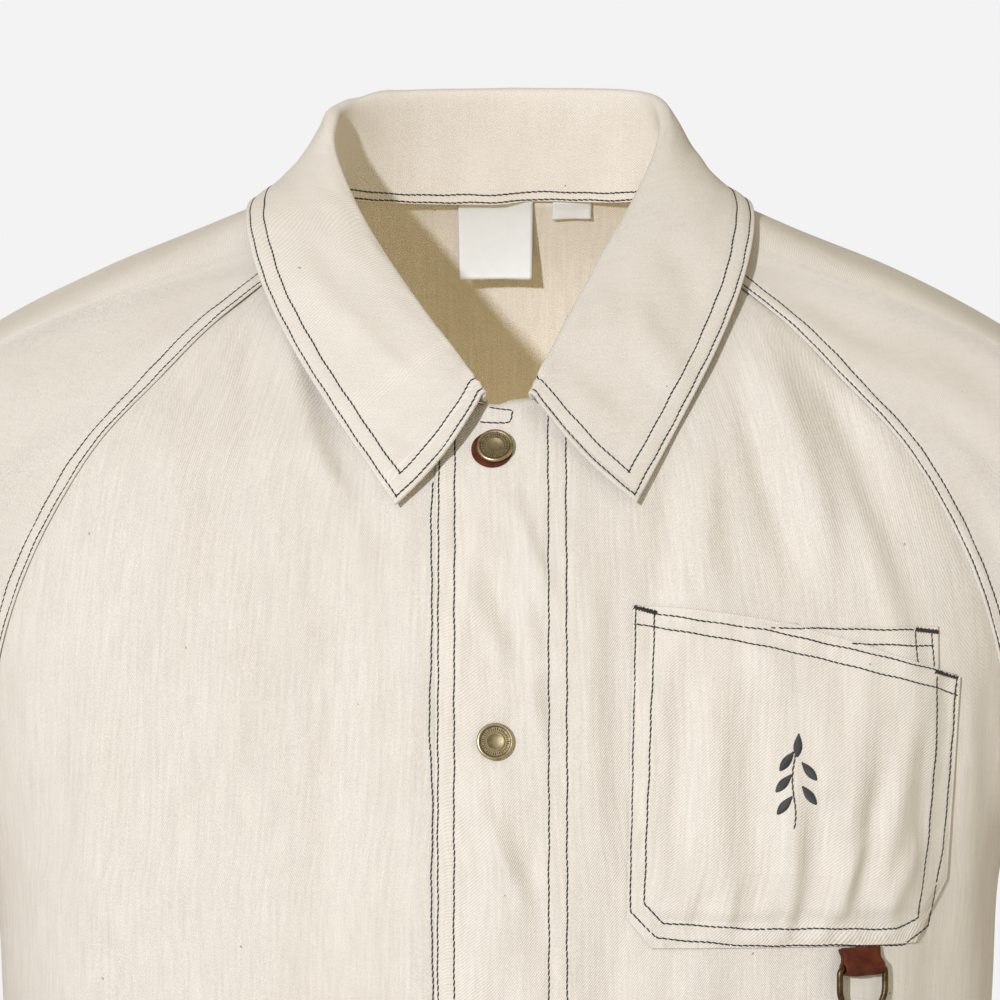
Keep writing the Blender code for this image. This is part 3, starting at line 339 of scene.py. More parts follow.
def frontPanel(side):
    top = side > 0
    look = frontLook
    edgeX = -look["placketEdge"] if top else 24 * mm
    u = np.linspace(0, 1, look["seamRows"] + 1)
    t = seamShare(u)
    seamAngle, seamZ = seamLine(frontSeam, side, t)
    drop = form["underarm"] - form["hem"]
    low = np.concatenate([np.linspace(0, drop - 30 * mm, look["lowRows"])[1:],
                          np.linspace(drop - 30 * mm, drop - 1.2 * mm, 22)[1:],
                          [drop - 0.7 * mm, drop - 0.3 * mm, drop]])
    even = np.concatenate([[0, 0.3, 0.7, 1.2, 1.8], np.arange(2.6, 62.1, 1.2)]) * mm
    count = look["columns"]
    rest = np.linspace(0, 1, count - len(even) + 1)[1:]
    startNeck = angleAt(np.array(edgeX), neckHeight(0.2))
    rows = []
    for i in range(len(u) + len(low)):
        seamRow = i < len(u)
        if seamRow:
            edgeZ = neckHeight(0.2) + (form["underarm"] - neckHeight(0.2)) * t[i]
            end = seamAngle[i]
        else:
            edgeZ = form["underarm"] - low[i - len(u)]
            end = side * math.pi / 2
        start = angleAt(np.array(edgeX), np.array(edgeZ))
        tail = side * look["underLap"] / 0.2
        if seamRow and i == 0:
            first0 = neckHeight(np.array(start))
            firstEnd = neckHeight(np.array(end))
        theta = None
        z = np.full(count, edgeZ)
        for _ in range(3):
            near = angleAt(edgeX + side * even, z[: len(even)])
            theta = np.concatenate([near, near[-1] + (end + tail - near[-1]) * rest])
            share = np.clip((theta - start) / (end - start), 0, 1.05)
            if seamRow:
                neckTheta = startNeck + (seamAngle[0] - startNeck) * share
                fall = (neckHeight(neckTheta) - first0) / (firstEnd - first0)
                if i == 0:
                    z = neckHeight(theta)
                else:
                    shape = fall * (1 - t[i]) + share * t[i]
                    z = edgeZ + (seamZ[i] - edgeZ) * shape
                    z = z + (first0 - neckHeight(0.2)) * (1 - t[i]) * (1 - shape)
        rows.append(np.stack([theta, z], -1))
    places = np.array(rows)
    theta, z = places[..., 0], places[..., 1]
    if top:
        coarse = np.concatenate([u * 12, 12 + low / drop * 8])
        z = z - 1.8 * mm * (1 - ease(theta, -0.03, 0.06)) * np.exp(-coarse)[:, None]
    flat = body(theta, z)
    x = flat[..., 0]
    fromEdge = np.abs(x - edgeX)
    seamEnd = np.concatenate([seamAngle, np.full(len(low), side * math.pi / 2)])[:, None]
    toSeam = (np.abs(seamEnd) - np.abs(theta)) * 0.21
    toHem = z - form["hem"]
    if top:
        lift = cloth["lap"] * (1 - ease(x, 26 * mm, 60 * mm))
        band = 1 - ease(x, 30 * mm, 34 * mm)
    else:
        lift = np.zeros_like(x)
        band = ease(x, -34 * mm, -30 * mm)
    thick = cloth["thick"] + (cloth["placket"] - cloth["thick"]) * band
    across, along = x, z
    ripple = look["ripple"] * (cloud(across, along, 11 + side, 17 * mm, 90 * mm)
                               + 0.6 * cloud(across, along, 21 + side, 8 * mm, 46 * mm)
                               + 0.9 * cloud(across, along, 31 + side, 42 * mm, 130 * mm))
    ripple = ripple * ease(-z, 0.02, 0.12) + look["crease"][side] * creaseSum(frontCreases, across, along)
    calm = 1 - 0.75 * np.exp(-((toSeam / (9 * mm)) ** 2))
    if not top:  # flat and tucked in where it lies under the placket
        hidden = ease(x, -26 * mm, -16 * mm)
        calm = calm * (1 - 0.85 * hidden)
        lift = lift - 1.0 * mm * hidden
    lift = lift + ripple * calm
    if top:
        for d in look["sewn"]:
            lift = lift - 0.42 * mm * bell(fromEdge, d * mm, 0.9 * mm)
        for d in look["facing"]:
            lift = lift - 0.36 * mm * bell(fromEdge, d * mm, 0.9 * mm)
        rope = np.sin(z / (4.7 * mm) * math.pi + 2.2 * cloud(z, x, 5, 20 * mm, 1)) * (0.5 + 0.5 * cloud(z, x, 6, 30 * mm, 1))
        lift = lift + 0.34 * mm * rope * (bell(fromEdge, 4.5 * mm, 3.2 * mm) + 0.7 * bell(fromEdge, 51 * mm, 3.4 * mm))
        wave = cloud(z, x, 9, 14 * mm, 12 * mm)
        lift = lift + 0.85 * mm * wave * ease(fromEdge, 8 * mm, 14 * mm) * (1 - ease(fromEdge, 40 * mm, 47 * mm))
    for d in look["hem"]:
        lift = lift - 0.25 * mm * bell(toHem, d * mm, 1.0 * mm)
    lift = lift + 0.35 * mm * bell(toHem, 10 * mm, 9 * mm)
    lift = lift + 0.3 * mm * np.sin(fromEdge / (5.2 * mm) * math.pi + 2 * cloud(x, z, 7, 25 * mm, 1)) * bell(toHem, 20 * mm, 7 * mm)
    lift = lift - 1.15 * mm * (1 - ease(toSeam, -0.2 * mm, 4.5 * mm))
    if top:
        for height in snapLook["heights"]:
            r = np.hypot(x - snapLook["x"], z - height * mm)
            turn = np.arctan2(z - height * mm, x - snapLook["x"])
            lift = lift - 0.5 * mm * np.exp(-((r / (12 * mm)) ** 4))
            lift = lift + 0.22 * mm * np.sin(turn * 7 + height) * bell(r, 15 * mm, 5 * mm)
    points = body(theta, z, lift + 1e-9)
    normals = gridNormals(points, False, float(side))
    edge = np.minimum(fromEdge, toHem)
    shrink = roundEdge(edge, thick)
    points = points - normals * (thick * (1 - shrink) / 2)[..., None]
    piece = {"points": points, "normals": normals, "thick": thick * shrink, "even": even, "x": x, "z": z}
    piece["toSeam"], piece["toHem"], piece["fromEdge"] = toSeam, toHem, fromEdge
    return piece


snapLook = {
    "heights": (-105, -227.5, -350, -472.5, -595), "x": -2 * mm, "radius": 7.9 * mm, "washer": 8.9 * mm,
    "ticks": 36, "brass": (0.27, 0.22, 0.125), "rim": (0.46, 0.38, 0.22), "patina": (0.028, 0.02, 0.012),
}
fronts = {}
for side, node, flat, area in ((-1, "front_right", (0.345, 0.735), 0.19), (1, "front_left", (0.375, 0.735), 0.20)):
    fronts[side] = frontPanel(side)
    data = fronts[side]
    made = shell("cloth_" + node, data["points"], data["thick"], data["normals"])
    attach(made, "jacket")
    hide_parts(node)
    data["object"] = made

backLook = {"columns": 132, "seamRows": 70, "lowRows": 96, "underLap": 2.4 * mm, "sideLap": 1.6 * mm, "ripple": 0.85 * mm}
# creases of the back, angle from the front in degrees x 3.4, height, in mm
backCreases = (
    (480, -60, 500, -200, 12, 1.6), (560, -50, 566, -190, 12, -1.4), (640, -40, 636, -170, 13, 1.4),
    (700, -60, 690, -210, 12, -1.3), (450, -180, 470, -330, 12, -1.5), (770, -180, 750, -330, 12, 1.5),
    (520, -260, 530, -460, 14, 1.6), (610, -240, 612, -440, 14, -1.4), (690, -260, 684, -460, 14, 1.4),
    (400, -320, 410, -520, 13, 1.5), (820, -320, 810, -520, 13, -1.5), (470, -480, 474, -690, 13, -1.2),
    (580, -470, 582, -690, 13, 1.3), (660, -490, 660, -690, 13, -1.2), (760, -480, 756, -690, 13, 1.3),
    (350, -340, 352, -560, 11, -1.1), (872, -340, 868, -560, 11, 1.2),
)


def backPanel():
    look = backLook
    u = np.linspace(0, 1, look["seamRows"] + 1)
    t = seamShare(u)
    leftAngle, leftZ = seamLine(backSeam, 1, t)
    drop = form["underarm"] - form["hem"]
    low = np.concatenate([np.linspace(0, drop - 30 * mm, look["lowRows"])[1:],
                          np.linspace(drop - 30 * mm, drop - 1.2 * mm, 20)[1:],
                          [drop - 0.7 * mm, drop - 0.3 * mm, drop]])
    flatShare = np.linspace(0, 1, look["columns"] + 1)
    border = np.array([0.0012, 0.0028, 0.005])
    shares = np.sort(np.concatenate([flatShare, border, 1 - border]))
    spread = np.abs(2 * shares - 1) ** 2
    blend = ease(np.arange(len(u) + len(low)), len(u) - 7, len(u) + 2)  # from under the sleeve to over the front
    rows = []
    for i in range(len(u) + len(low)):
        lap = -look["underLap"] / 0.2 * (1 - blend[i]) - look["sideLap"] / 0.225 * blend[i]
        if i < len(u):
            start = leftAngle[i]
            wideStart = start + lap
            theta = wideStart + (2 * math.pi - 2 * wideStart) * shares
            plain = start + (2 * math.pi - 2 * start) * shares
            half = np.where(plain > math.pi, 2 * math.pi - plain, plain)
            if i == 0:
                z = neckHeight(half)
                middle = neckHeight(math.pi)
                fall = z - middle
            else:
                centre = middle + (form["underarm"] - middle) * t[i]
                z = centre + (leftZ[i] - centre) * spread
                z = z + (fall - fall[0] * spread) * (1 - t[i])
        else:
            start = math.pi / 2 + lap
            theta = start + (2 * math.pi - 2 * start) * shares
            z = np.full_like(theta, form["underarm"] - low[i - len(u)])
        rows.append(np.stack([theta, z], -1))
    places = np.array(rows)
    theta, z = places[..., 0], places[..., 1]
    half = np.minimum(theta, 2 * math.pi - theta)
    ends = np.concatenate([leftAngle, np.full(len(low), math.pi / 2)])[:, None]
    toSeam = (half - ends) * 0.215
    toHem = z - form["hem"]
    across = theta / degree * 3.4 * mm
    lift = look["ripple"] * (cloud(across, z, 41, 19 * mm, 80 * mm) + 0.6 * cloud(across, z, 42, 9 * mm, 44 * mm)
                             + 0.9 * cloud(across, z, 43, 46 * mm, 120 * mm))
    lift = lift * ease(-z, 0.0, 0.09) + 1.4 * creaseSum(backCreases, across, z)
    lift = lift * (1 - 0.7 * np.exp(-((toSeam / (10 * mm)) ** 2)))
    side = blend[:, None]
    lift = lift - 1.15 * mm * (1 - ease(toSeam, -0.2 * mm, 4.5 * mm)) * (1 - side)
    lift = lift + 0.45 * mm * (1 - ease(toSeam, 3 * mm, 12 * mm)) * side
    for d in (1.0, 7.4):
        lift = lift - 0.25 * mm * bell(toSeam, d * mm, 1.0 * mm) * side
    for d in frontLook["hem"]:
        lift = lift - 0.25 * mm * bell(toHem, d * mm, 1.0 * mm)
    lift = lift + 0.35 * mm * bell(toHem, 10 * mm, 9 * mm)
    lift = lift + 0.3 * mm * np.sin(across / (5.2 * mm) * math.pi) * bell(toHem, 20 * mm, 7 * mm)
    points = body(theta, z, lift + 1e-9)
    normals = gridNormals(points, False, 1.0)
    thick = np.full(z.shape, cloth["thick"])
    shrink = roundEdge(np.minimum(toHem, 1 * (toSeam + look["sideLap"]) * side + 1 - side), thick)
    points = points - normals * (thick * (1 - shrink) / 2)[..., None]
    return {"points": points, "normals": normals, "thick": thick * shrink, "toSeam": toSeam, "toHem": toHem,
            "blend": blend, "z": z}


backCloth = backPanel()
made = shell("cloth_back", backCloth["points"], backCloth["thick"], backCloth["normals"])
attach(made, "jacket")
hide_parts("back")
backCloth["object"] = made

print("stage: sleeves")
sleeveLook = {
    "x": (288, 306, 324, 338, 349, 358, 364), "y": (2, 6, 8, 3, -8, -24, -38),
    "z": (-283, -338, -396, -452, -510, -568, -624), "across": (62, 60, 58, 55.5, 52, 48.5, 46),
    "deep": (77, 73, 68, 63, 58, 53, 50), "tilt": (14, 16, 15, 13, 11, 9, 7),
    "radius": 65 * mm, "length": 560 * mm, "full": 24 * mm,
    "finer": 5, "sewn": (1.3, 9.4), "hem": (17.5, 23.9), "ripple": 0.95 * mm, "overlap": 1.3 * mm,
}
sleeveFolds = (  # angle from the outside, share down, slant, long, wide, deep
    (-95, 0.10, 40, 70, 16, -3.5), (-60, 0.24, 55, 60, 15, 3.0), (-120, 0.36, 72, 60, 14, 3.5),
    (-110, 0.46, 84, 70, 14, -4.0), (120, 0.30, -50, 70, 16, 3.5), (100, 0.55, -66, 60, 15, 3.0),
    (-80, 0.72, 70, 55, 14, 3.0), (60, 0.80, -72, 60, 15, -2.5), (10, 0.90, 80, 55, 14, 2.5),
)
# smaller creases of a sleeve: turn and way down in mm on a 65 mm tube, then half width and height
sleeveCreases = (
    (-120, 150, -60, 235, 7, 1.4), (-140, 240, -70, 290, 6, -1.3), (-150, 300, -85, 330, 6, 1.5),
    (-30, 120, -16, 260, 9, 1.0), (30, 150, 42, 300, 9, -0.9), (90, 220, 150, 280, 8, 1.3),
    (70, 330, 140, 372, 7, -1.2), (-100, 360, -30, 392, 7, 1.1), (-130, 420, -60, 450, 7, -1.1),
    (20, 400, 80, 452, 8, 1.0), (-20, 470, 60, 500, 7, -0.9), (-160, 500, -80, 520, 7, 1.0),
)


def sleeve(side):
    look = sleeveLook
    t0 = seamShare(np.linspace(0, 1, 13))
    frontAngle, frontZ = seamLine(frontSeam, side, t0)
    backAngle, backZ = seamLine(backSeam, side, t0)
    neck = np.linspace(frontAngle[0], backAngle[0], 4)
    theta = np.concatenate([neck, backAngle[1:], frontAngle[::-1][1:-1]])
    z = np.concatenate([neckHeight(neck), backZ[1:], frontZ[::-1][1:-1]])
    edge = body(theta, z, 0.35 * mm)
    count = len(theta)
    step = 1e-3
    roundWay = unit(body(theta + step, z) - body(theta - step, z))
    downWay = unit(body(theta, z + step) - body(theta, z - step))
    skin = unit(np.cross(roundWay, downWay))
    tangent = unit(np.roll(edge, -1, axis=0) - np.roll(edge, 1, axis=0))
    away = unit(np.cross(tangent, skin))
    away = away * np.sign(away[:, :1] * side + 1e-6)
    low = ease(-z, 0.225, 0.289)[:, None]
    steps = np.linalg.norm(np.diff(np.concatenate([edge, edge[:1]]), axis=0), axis=1)
    run = np.concatenate([[0], np.cumsum(steps)])[:-1]
    total = steps.sum()
    crest = run[0] + (run[3] - run[0]) * 0.5
    backLength = (run[15] - crest) % total
    along = (run - crest) % total
    psi = np.where(along <= backLength + 1e-9, math.pi * along / backLength,
                   2 * math.pi - math.pi * (total - along) / (total - backLength))
    psi[:2] = np.where(psi[:2] > math.pi, psi[:2] - 2 * math.pi, psi[:2])
    mirror = np.array([side, 1, 1])

    def ring(share, turn):
        keys = np.linspace(0, 1, len(look["x"]))
        centre = np.array([smoothTable(keys, look[c], share) for c in ("x", "y", "z")]) * mm
        across = smoothTable(keys, look["across"], share) * mm
        deep = smoothTable(keys, look["deep"], share) * mm
        tilt = float(smoothTable(keys, look["tilt"], share)) * degree
        lean = np.array([math.cos(tilt), 0, math.sin(tilt)])
        return centre + np.cos(turn)[:, None] * across * lean + np.sin(turn)[:, None] * deep * np.array([0, 1, 0])

    first = ring(0.0, psi)
    begin = edge * mirror
    face = skin * mirror
    aim = first - begin
    aim = unit(aim - np.sum(aim * face, -1, keepdims=True) * face)
    leave = unit(away * mirror * 0.45 + aim * 0.75)
    leave = unit(leave * (1 - low) + np.array([1.4, 0, 0]) * low)

    fine = np.arange(count * look["finer"]) / look["finer"]
    psiFine = np.interp(fine, np.arange(count + 1), np.concatenate([psi, [psi[0] + 2 * math.pi]]))
    begin, leave, face = refine(begin, fine, True), unit(refine(leave, fine, True)), unit(refine(face, fine, True))
    first = ring(0.0, psiFine)
    ahead = unit(ring(0.02, psiFine) - first)
    chord = np.linalg.norm(first - begin, axis=1)[:, None]
    pull = chord * (0.85 + 0.25 * np.clip(np.cos(psiFine), 0, 1)[:, None])
    begin = begin + leave * cloth["gap"]

    capAt = np.concatenate([[0], np.array([0.4, 0.9, 1.6, 2.5, 3.6, 4.8, 6, 7.2, 8.4, 10, 12]) / 230,
                            np.linspace(0.062, 1, 62)])
    ringAt = np.concatenate([np.linspace(0, 1 - 0.052, 112)[1:], np.linspace(1 - 0.052, 1 - 0.002, 19)[1:],
                             [1 - 0.0012, 1 - 0.0005, 1]])
    rows = []
    for t in capAt:
        h00, h10 = (1 + 2 * t) * (1 - t) ** 2, t * (1 - t) ** 2
        h01, h11 = t * t * (3 - 2 * t), -t * t * (1 - t)
        rows.append(h00 * begin + h10 * pull * leave + h01 * first + h11 * pull * ahead)
    for share in ringAt:
        rows.append(ring(share, psiFine))
    points = np.array(rows)
    points[0] = points[0] - leave * look["overlap"]  # the folded edge laps over the panels
    down = np.concatenate([capAt * 8, 8 + ringAt * 11])[:, None] / 19 * np.ones(len(fine))
    normals = gridNormals(points, True, 1.0)
    turn = (psiFine + math.pi) % (2 * math.pi) - math.pi
    placed = []
    for angle, share, slant, long, wide, deep in sleeveFolds:
        drop = share * look["length"]
        if side < 0:
            angle, drop, slant = angle * 0.85 + 6, drop * 0.93 + 14 * mm, slant * 0.9
        placed.append((angle * degree * look["radius"], drop, slant, long, wide, deep))
    across, along = turn * look["radius"], down * look["length"]
    height = foldSum(placed, along, across, 2 * math.pi * look["radius"])
    keep = ease(down, 0.05, 0.3) * (1 - 0.8 * ease(-np.cos(turn), 0.6, 1.0) * (1 - ease(down, 0.4, 0.6)))
    shoulder = look["full"] * np.exp(-((turn / 1.05) ** 2)) * np.exp(-(((down - 0.22) / 0.12) ** 2))
    points = points + normals * (height * keep + shoulder * ease(down, 0, 0.1))[..., None]

    steps = np.linalg.norm(np.diff(points, axis=0), axis=2)
    fromSeam = np.concatenate([np.zeros((1, len(fine))), np.cumsum(steps, axis=0)])
    toCuff = fromSeam[-1] - fromSeam
    wrap = np.cos(turn)[None, :] * 70 * mm
    wrapB = np.sin(turn)[None, :] * 70 * mm
    small = cloud(wrap + 0.4 * wrapB + 0.3 * side, along, 51 + side, 16 * mm, 34 * mm)
    small = small + 0.8 * cloud(wrapB, along + wrap, 61 + side, 30 * mm, 26 * mm)
    lift = look["ripple"] * small * ease(fromSeam, 6 * mm, 40 * mm)
    lift = lift + 1.4 * creaseSum(sleeveCreases, across * side, along) * ease(fromSeam, 8 * mm, 40 * mm)
    lift = lift + 0.2 * mm * (1 - ease(fromSeam, 7 * mm, 15 * mm))
    for d in look["sewn"]:
        lift = lift - 0.42 * mm * bell(fromSeam, (d + 1.1) * mm, 0.9 * mm)
    rope = np.sin(fine * 4.1 + 2 * np.sin(fine * 0.7))[None, :]
    lift = lift + 0.3 * mm * rope * bell(fromSeam, 6.4 * mm, 3.6 * mm)
    for d in look["hem"]:
        lift = lift - 0.25 * mm * bell(toCuff, d * mm, 1.0 * mm)
    lift = lift + 0.3 * mm * bell(toCuff, 10 * mm, 9 * mm) + 0.25 * mm * np.sin(fine * 3.3)[None, :] * bell(toCuff, 20 * mm, 7 * mm)
    under = np.abs(np.abs(turn) - math.pi)[None, :] * look["radius"]
    lift = lift - 0.5 * mm * bell(under, 0, 1.8 * mm) * ease(down, 0.4, 0.46)
    normals = gridNormals(points, True, 1.0)
    points = points + normals * lift[..., None]
    normals = gridNormals(points, True, 1.0)
    thick = np.full(points.shape[:2], cloth["thick"])
    shrink = roundEdge(np.minimum(fromSeam, toCuff), thick)
    points = (points - normals * (thick * (1 - shrink) / 2)[..., None]) * mirror
    normals = normals * mirror
    return {"points": points, "normals": normals, "thick": thick * shrink, "fromSeam": fromSeam, "toCuff": toCuff,
            "closed": True, "turn": turn, "down": down}


sleeves = {}
for side, node in ((-1, "sleeve_right"), (1, "sleeve_left")):
    data = sleeve(side)
    sleeves[side] = data
    made = shell("cloth_" + node, data["points"], data["thick"], data["normals"], closed=True)
    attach(made, "jacket")
    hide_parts(node)
    data["object"] = made

print("stage: collar")
collarRight = {
    "share": (0, 0.2, 0.35, 0.42, 0.5, 0.62, 0.8, 1), "seam": (180, 140, 102, 88, 77, 62, 35, 3),
    "rollX": (0, 62, 80, 76, 67, 53, 30, 6), "rollY": (64, 48, 20, 4, -15, -40, -75, -103),
    "rollZ": (62, 59.5, 46, 29, 9, -17, -49, -82), "edgeX": (0, 59, 98, 112, 115, 107, 84, 44),
    "edgeY": (95, 84, 50, 21, -14, -48, -84, -121), "edgeZ": (-9, -2, 9, 13, 5, -27, -71, -129),
}
collarLeft = {
    "share": (0, 0.2, 0.35, 0.42, 0.5, 0.62, 0.8, 1), "seam": (180, 140, 102, 88, 77, 62, 36, 8),
    "rollX": (0, 62, 78, 73, 61, 47.5, 31, 12.5), "rollY": (64, 48, 20, 4, -15, -38, -72, -102.5),
    "rollZ": (62, 60.5, 50, 31, 9, -16, -46, -82.5), "edgeX": (0, 59, 98, 112, 115, 108, 89, 57.6),
    "edgeY": (95, 84, 50, 21, -14, -48, -83, -119), "edgeZ": (-9, -2, 9, 13, 5, -28, -71, -128),
}
collarLook = {"half": 17, "radius": 3.2 * mm, "endRadius": 1.5 * mm, "inside": 4.6 * mm, "sewn": (2.3, 8.6), "straight": 4.5 * mm, "neckRows": (0.3, 0.95)}
# creases of the collar leaf as seen from the front, in mm
collarCreases = (
    (-72, -40, -40, -74, 5, 0.7), (-90, -10, -66, -60, 7, 0.8), (-60, -88, -34, -102, 4, -0.5),
    (60, -40, 80, -84, 7, 0.8), (70, -14, 92, -50, 7, -0.7), (30, -70, 56, -100, 5, 0.6),
    (-78, 52, -60, 30, 4, 1.0), (-66, 60, -50, 36, 4, -0.9), (-54, 62, -46, 30, 4, 0.6), (70, 58, 58, 30, 5, 0.7),
)


def evened(points, passes):
    points = points.copy()
    for _ in range(passes):
        points[1:-1] = (points[:-2] + 2 * points[1:-1] + points[2:]) / 4
    return points


def collarCloth():
    look = collarLook
    halves = []
    for side, table in ((-1, collarRight), (1, collarLeft)):
        share = np.linspace(0, 1, look["half"] + 1)
        read = {k: smoothTable(table["share"], table[k], share) for k in table if k != "share"}
        angle = side * np.radians(read["seam"])
        onLap = cloth["lap"] if side > 0 else 0.0
        seamX = body(angle, neckHeight(angle))[..., 0]
        seam = body(angle, neckHeight(angle), onLap * (1 - ease(seamX, 26 * mm, 60 * mm)) + 1e-9)
        roll = np.stack([side * read["rollX"], read["rollY"], read["rollZ"]], -1) * mm
        edge = np.stack([side * read["edgeX"], read["edgeY"], read["edgeZ"]], -1) * mm
        radius = look["radius"] + (look["endRadius"] - look["radius"]) * ease(share, 0.78, 1)
        skin = unit(body(angle, neckHeight(angle), 1 * mm) - body(angle, neckHeight(angle)))
        halves.append((seam, roll, edge, radius[:, None], skin, share[:, None]))
    right, left = halves
    seam, roll, edge, radius, out, share = (np.concatenate([right[i][::-1], left[i][1:]]) for i in range(6))
    roll, edge = evened(roll, 3), evened(edge, 2)
    along = unit(evened(np.gradient(roll, axis=0), 4))
    up = roll - (seam + edge) / 2
    up = unit(evened(unit(up - np.sum(up * along, -1, keepdims=True) * along), 4))
    out = evened(out, 6)
    out = out - np.sum(out * along, -1, keepdims=True) * along
    out = unit(out - np.sum(out * up, -1, keepdims=True) * up)
    stand = unit(roll - seam)
    weight = 1 - ease(share, 0.72, 0.9)
    begin = seam + stand * 1.2 * mm
    inside = roll - out * radius - up * radius * 1.2
    outside = roll + out * radius - up * radius * 1.2
    fall = edge - outside
    puff = unit(np.cross(along, fall))
    puff = puff * np.sign(np.sum(puff * (out + up), -1, keepdims=True))
    puffSize = np.linalg.norm(fall, axis=1, keepdims=True) * 0.05
    controls = np.array([
        begin - stand * (0.2 * mm + look["inside"] * weight) - out * 2.5 * mm * weight,
        begin - out * 2.2 * mm * weight + stand * 0.4 * mm,
        begin + (inside - begin) * 0.5 - out * 0.5 * mm * weight,
        inside, roll, outside,
        outside + fall * 0.3 + puff * puffSize,
        outside + fall * 0.65 + puff * puffSize * 0.8,
        edge,
    ])
    stations = np.concatenate([[0, 0.03, 0.08, 0.15], np.linspace(0.25, 1, 6), np.linspace(1, 3, 17)[1:],
                               np.linspace(3, 5, 21)[1:], np.linspace(5, 7.6, 26)[1:], np.linspace(7.6, 7.95, 11)[1:],
                               [7.972, 7.988, 8.0]])
    grid = refine(controls, stations)
    ends = np.array([0, 0.02, 0.05, 0.09, 0.14])
    columns = np.concatenate([ends, np.arange(0.2, 33.85, 0.2), 34 - ends[::-1]])
    grid = refine(grid.transpose(1, 0, 2), columns).transpose(1, 0, 2)
    normals = -gridNormals(grid, False, 1.0)
    half = cloth["collar"] / 2
    outer = grid + normals * half

    def nearest(line):
        a, b = line[:-1], line[1:]
        ab = b - a
        d = np.full(outer.shape[:2], 1.0)
        for k in range(len(a)):
            t = np.clip(np.sum((outer - a[k]) * ab[k], -1) / max(np.dot(ab[k], ab[k]), 1e-12), 0, 1)
            d = np.minimum(d, np.linalg.norm(outer - a[k] - t[..., None] * ab[k], axis=-1))
        return d

    onLeaf = (stations > 4.3)[:, None]
    toEdge = np.where(onLeaf, nearest(outer[-1]), 1.0)
    toRight = np.where(np.arange(len(columns))[None, :] < 60, nearest(outer[:, 0]), 1.0)
    toLeft = np.where(np.arange(len(columns))[None, :] > len(columns) - 60, nearest(outer[:, -1]), 1.0)
    border = np.minimum(toEdge, np.minimum(toRight, toLeft))
    x, z = outer[..., 0], outer[..., 2]
    spread = columns[None, :] * 14 * mm
    depth = stations[:, None] * 20 * mm
    lift = 0.6 * mm * cloud(spread, depth, 71, 24 * mm, 16 * mm) + 0.4 * mm * cloud(spread, depth, 72, 11 * mm, 9 * mm)
    lift = lift * ease(stations, 3.4, 5)[:, None] + 1.4 * mm * cloud(spread, depth, 73, 13 * mm, 60 * mm) * (1 - ease(stations, 2.2, 3.4))[:, None] * ease(stations, 0.8, 1.6)[:, None]
    lift = lift + 2.1 * creaseSum(collarCreases, x, z) * ease(stations, 3, 4)[:, None]
    lift = lift * ease(border, 2 * mm, 9 * mm)
    for d in look["sewn"]:
        lift = lift - 0.42 * mm * bell(border, d * mm, 0.85 * mm) * onLeaf
    rope = np.sin(spread / (3.6 * mm)) * (0.6 + 0.4 * cloud(spread, depth, 74, 30 * mm, 400 * mm))
    lift = lift + (0.25 * mm + 0.25 * mm * rope) * bell(border, 5.4 * mm, 2.6 * mm) * onLeaf
    lift = lift + 0.25 * mm * bell(border, 12 * mm, 4 * mm) * onLeaf
    middle = grid + normals * lift[..., None]
    leafShare = np.clip((stations - 5) / 3, 0, 1)[:, None]  # the front edges run straight from the roll to the point
    fromEnd = np.minimum(columns, 34 - columns)[None, :]
    push = look["straight"] * np.sin(math.pi * leafShare) * np.exp(-((fromEnd / 3.2) ** 2))
    middle[..., 0] += push * 0.72 * np.where(columns < 17, 1, -1)[None, :]
    middle[..., 2] -= push * 0.69
    normals = -gridNormals(middle, False, 1.0)
    near = np.minimum(border, stations[:, None] * 15 * mm)
    thick = cloth["collar"] * roundEdge(near, np.full(near.shape, cloth["collar"]))
    return {"points": middle + normals * (thick / 2)[..., None], "normals": normals, "thick": thick,
            "toEdge": toEdge, "toRight": toRight, "toLeft": toLeft, "stations": stations, "columns": columns}


collarData = collarCloth()
made = shell("cloth_collar", collarData["points"], collarData["thick"], collarData["normals"])
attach(made, "jacket")
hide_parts("collar")
collarData["object"] = made


def treeOf(*pieces):
    vertices, faces = [], []
    for piece in pieces:
        start = len(vertices)
        vertices += [v.co.copy() for v in piece.data.vertices]
        faces += [tuple(i + start for i in p.vertices) for p in piece.data.polygons]
    return BVHTree.FromPolygons(vertices, faces)


def seen(tree, pixels):  # points and normals of the surface behind these pixels of the front view
    points, normals = [], []
    for px, py in pixels:
        way = Vector(((px - 500) * shot["mmPerPixel"], shot["distance"] * 1000, (500 - py) * shot["mmPerPixel"])).normalized()
        hit, normal, _, _ = tree.ray_cast(Vector(cameraPlace), way)
        if hit is None:
            continue
        points.append(np.array(hit))
        normals.append(np.array(normal if normal.dot(way) < 0 else -normal))
    return np.array(points), np.array(normals)


def between(corners, step):  # evenly spaced places along straight runs
    corners = np.array(corners, float)
    out = [corners[:1]]
    for a, b in zip(corners[:-1], corners[1:]):
        n = max(1, int(np.linalg.norm(b - a) / step))
        out.append(a + (b - a) * (np.arange(1, n + 1) / n)[:, None])
    return np.concatenate(out)


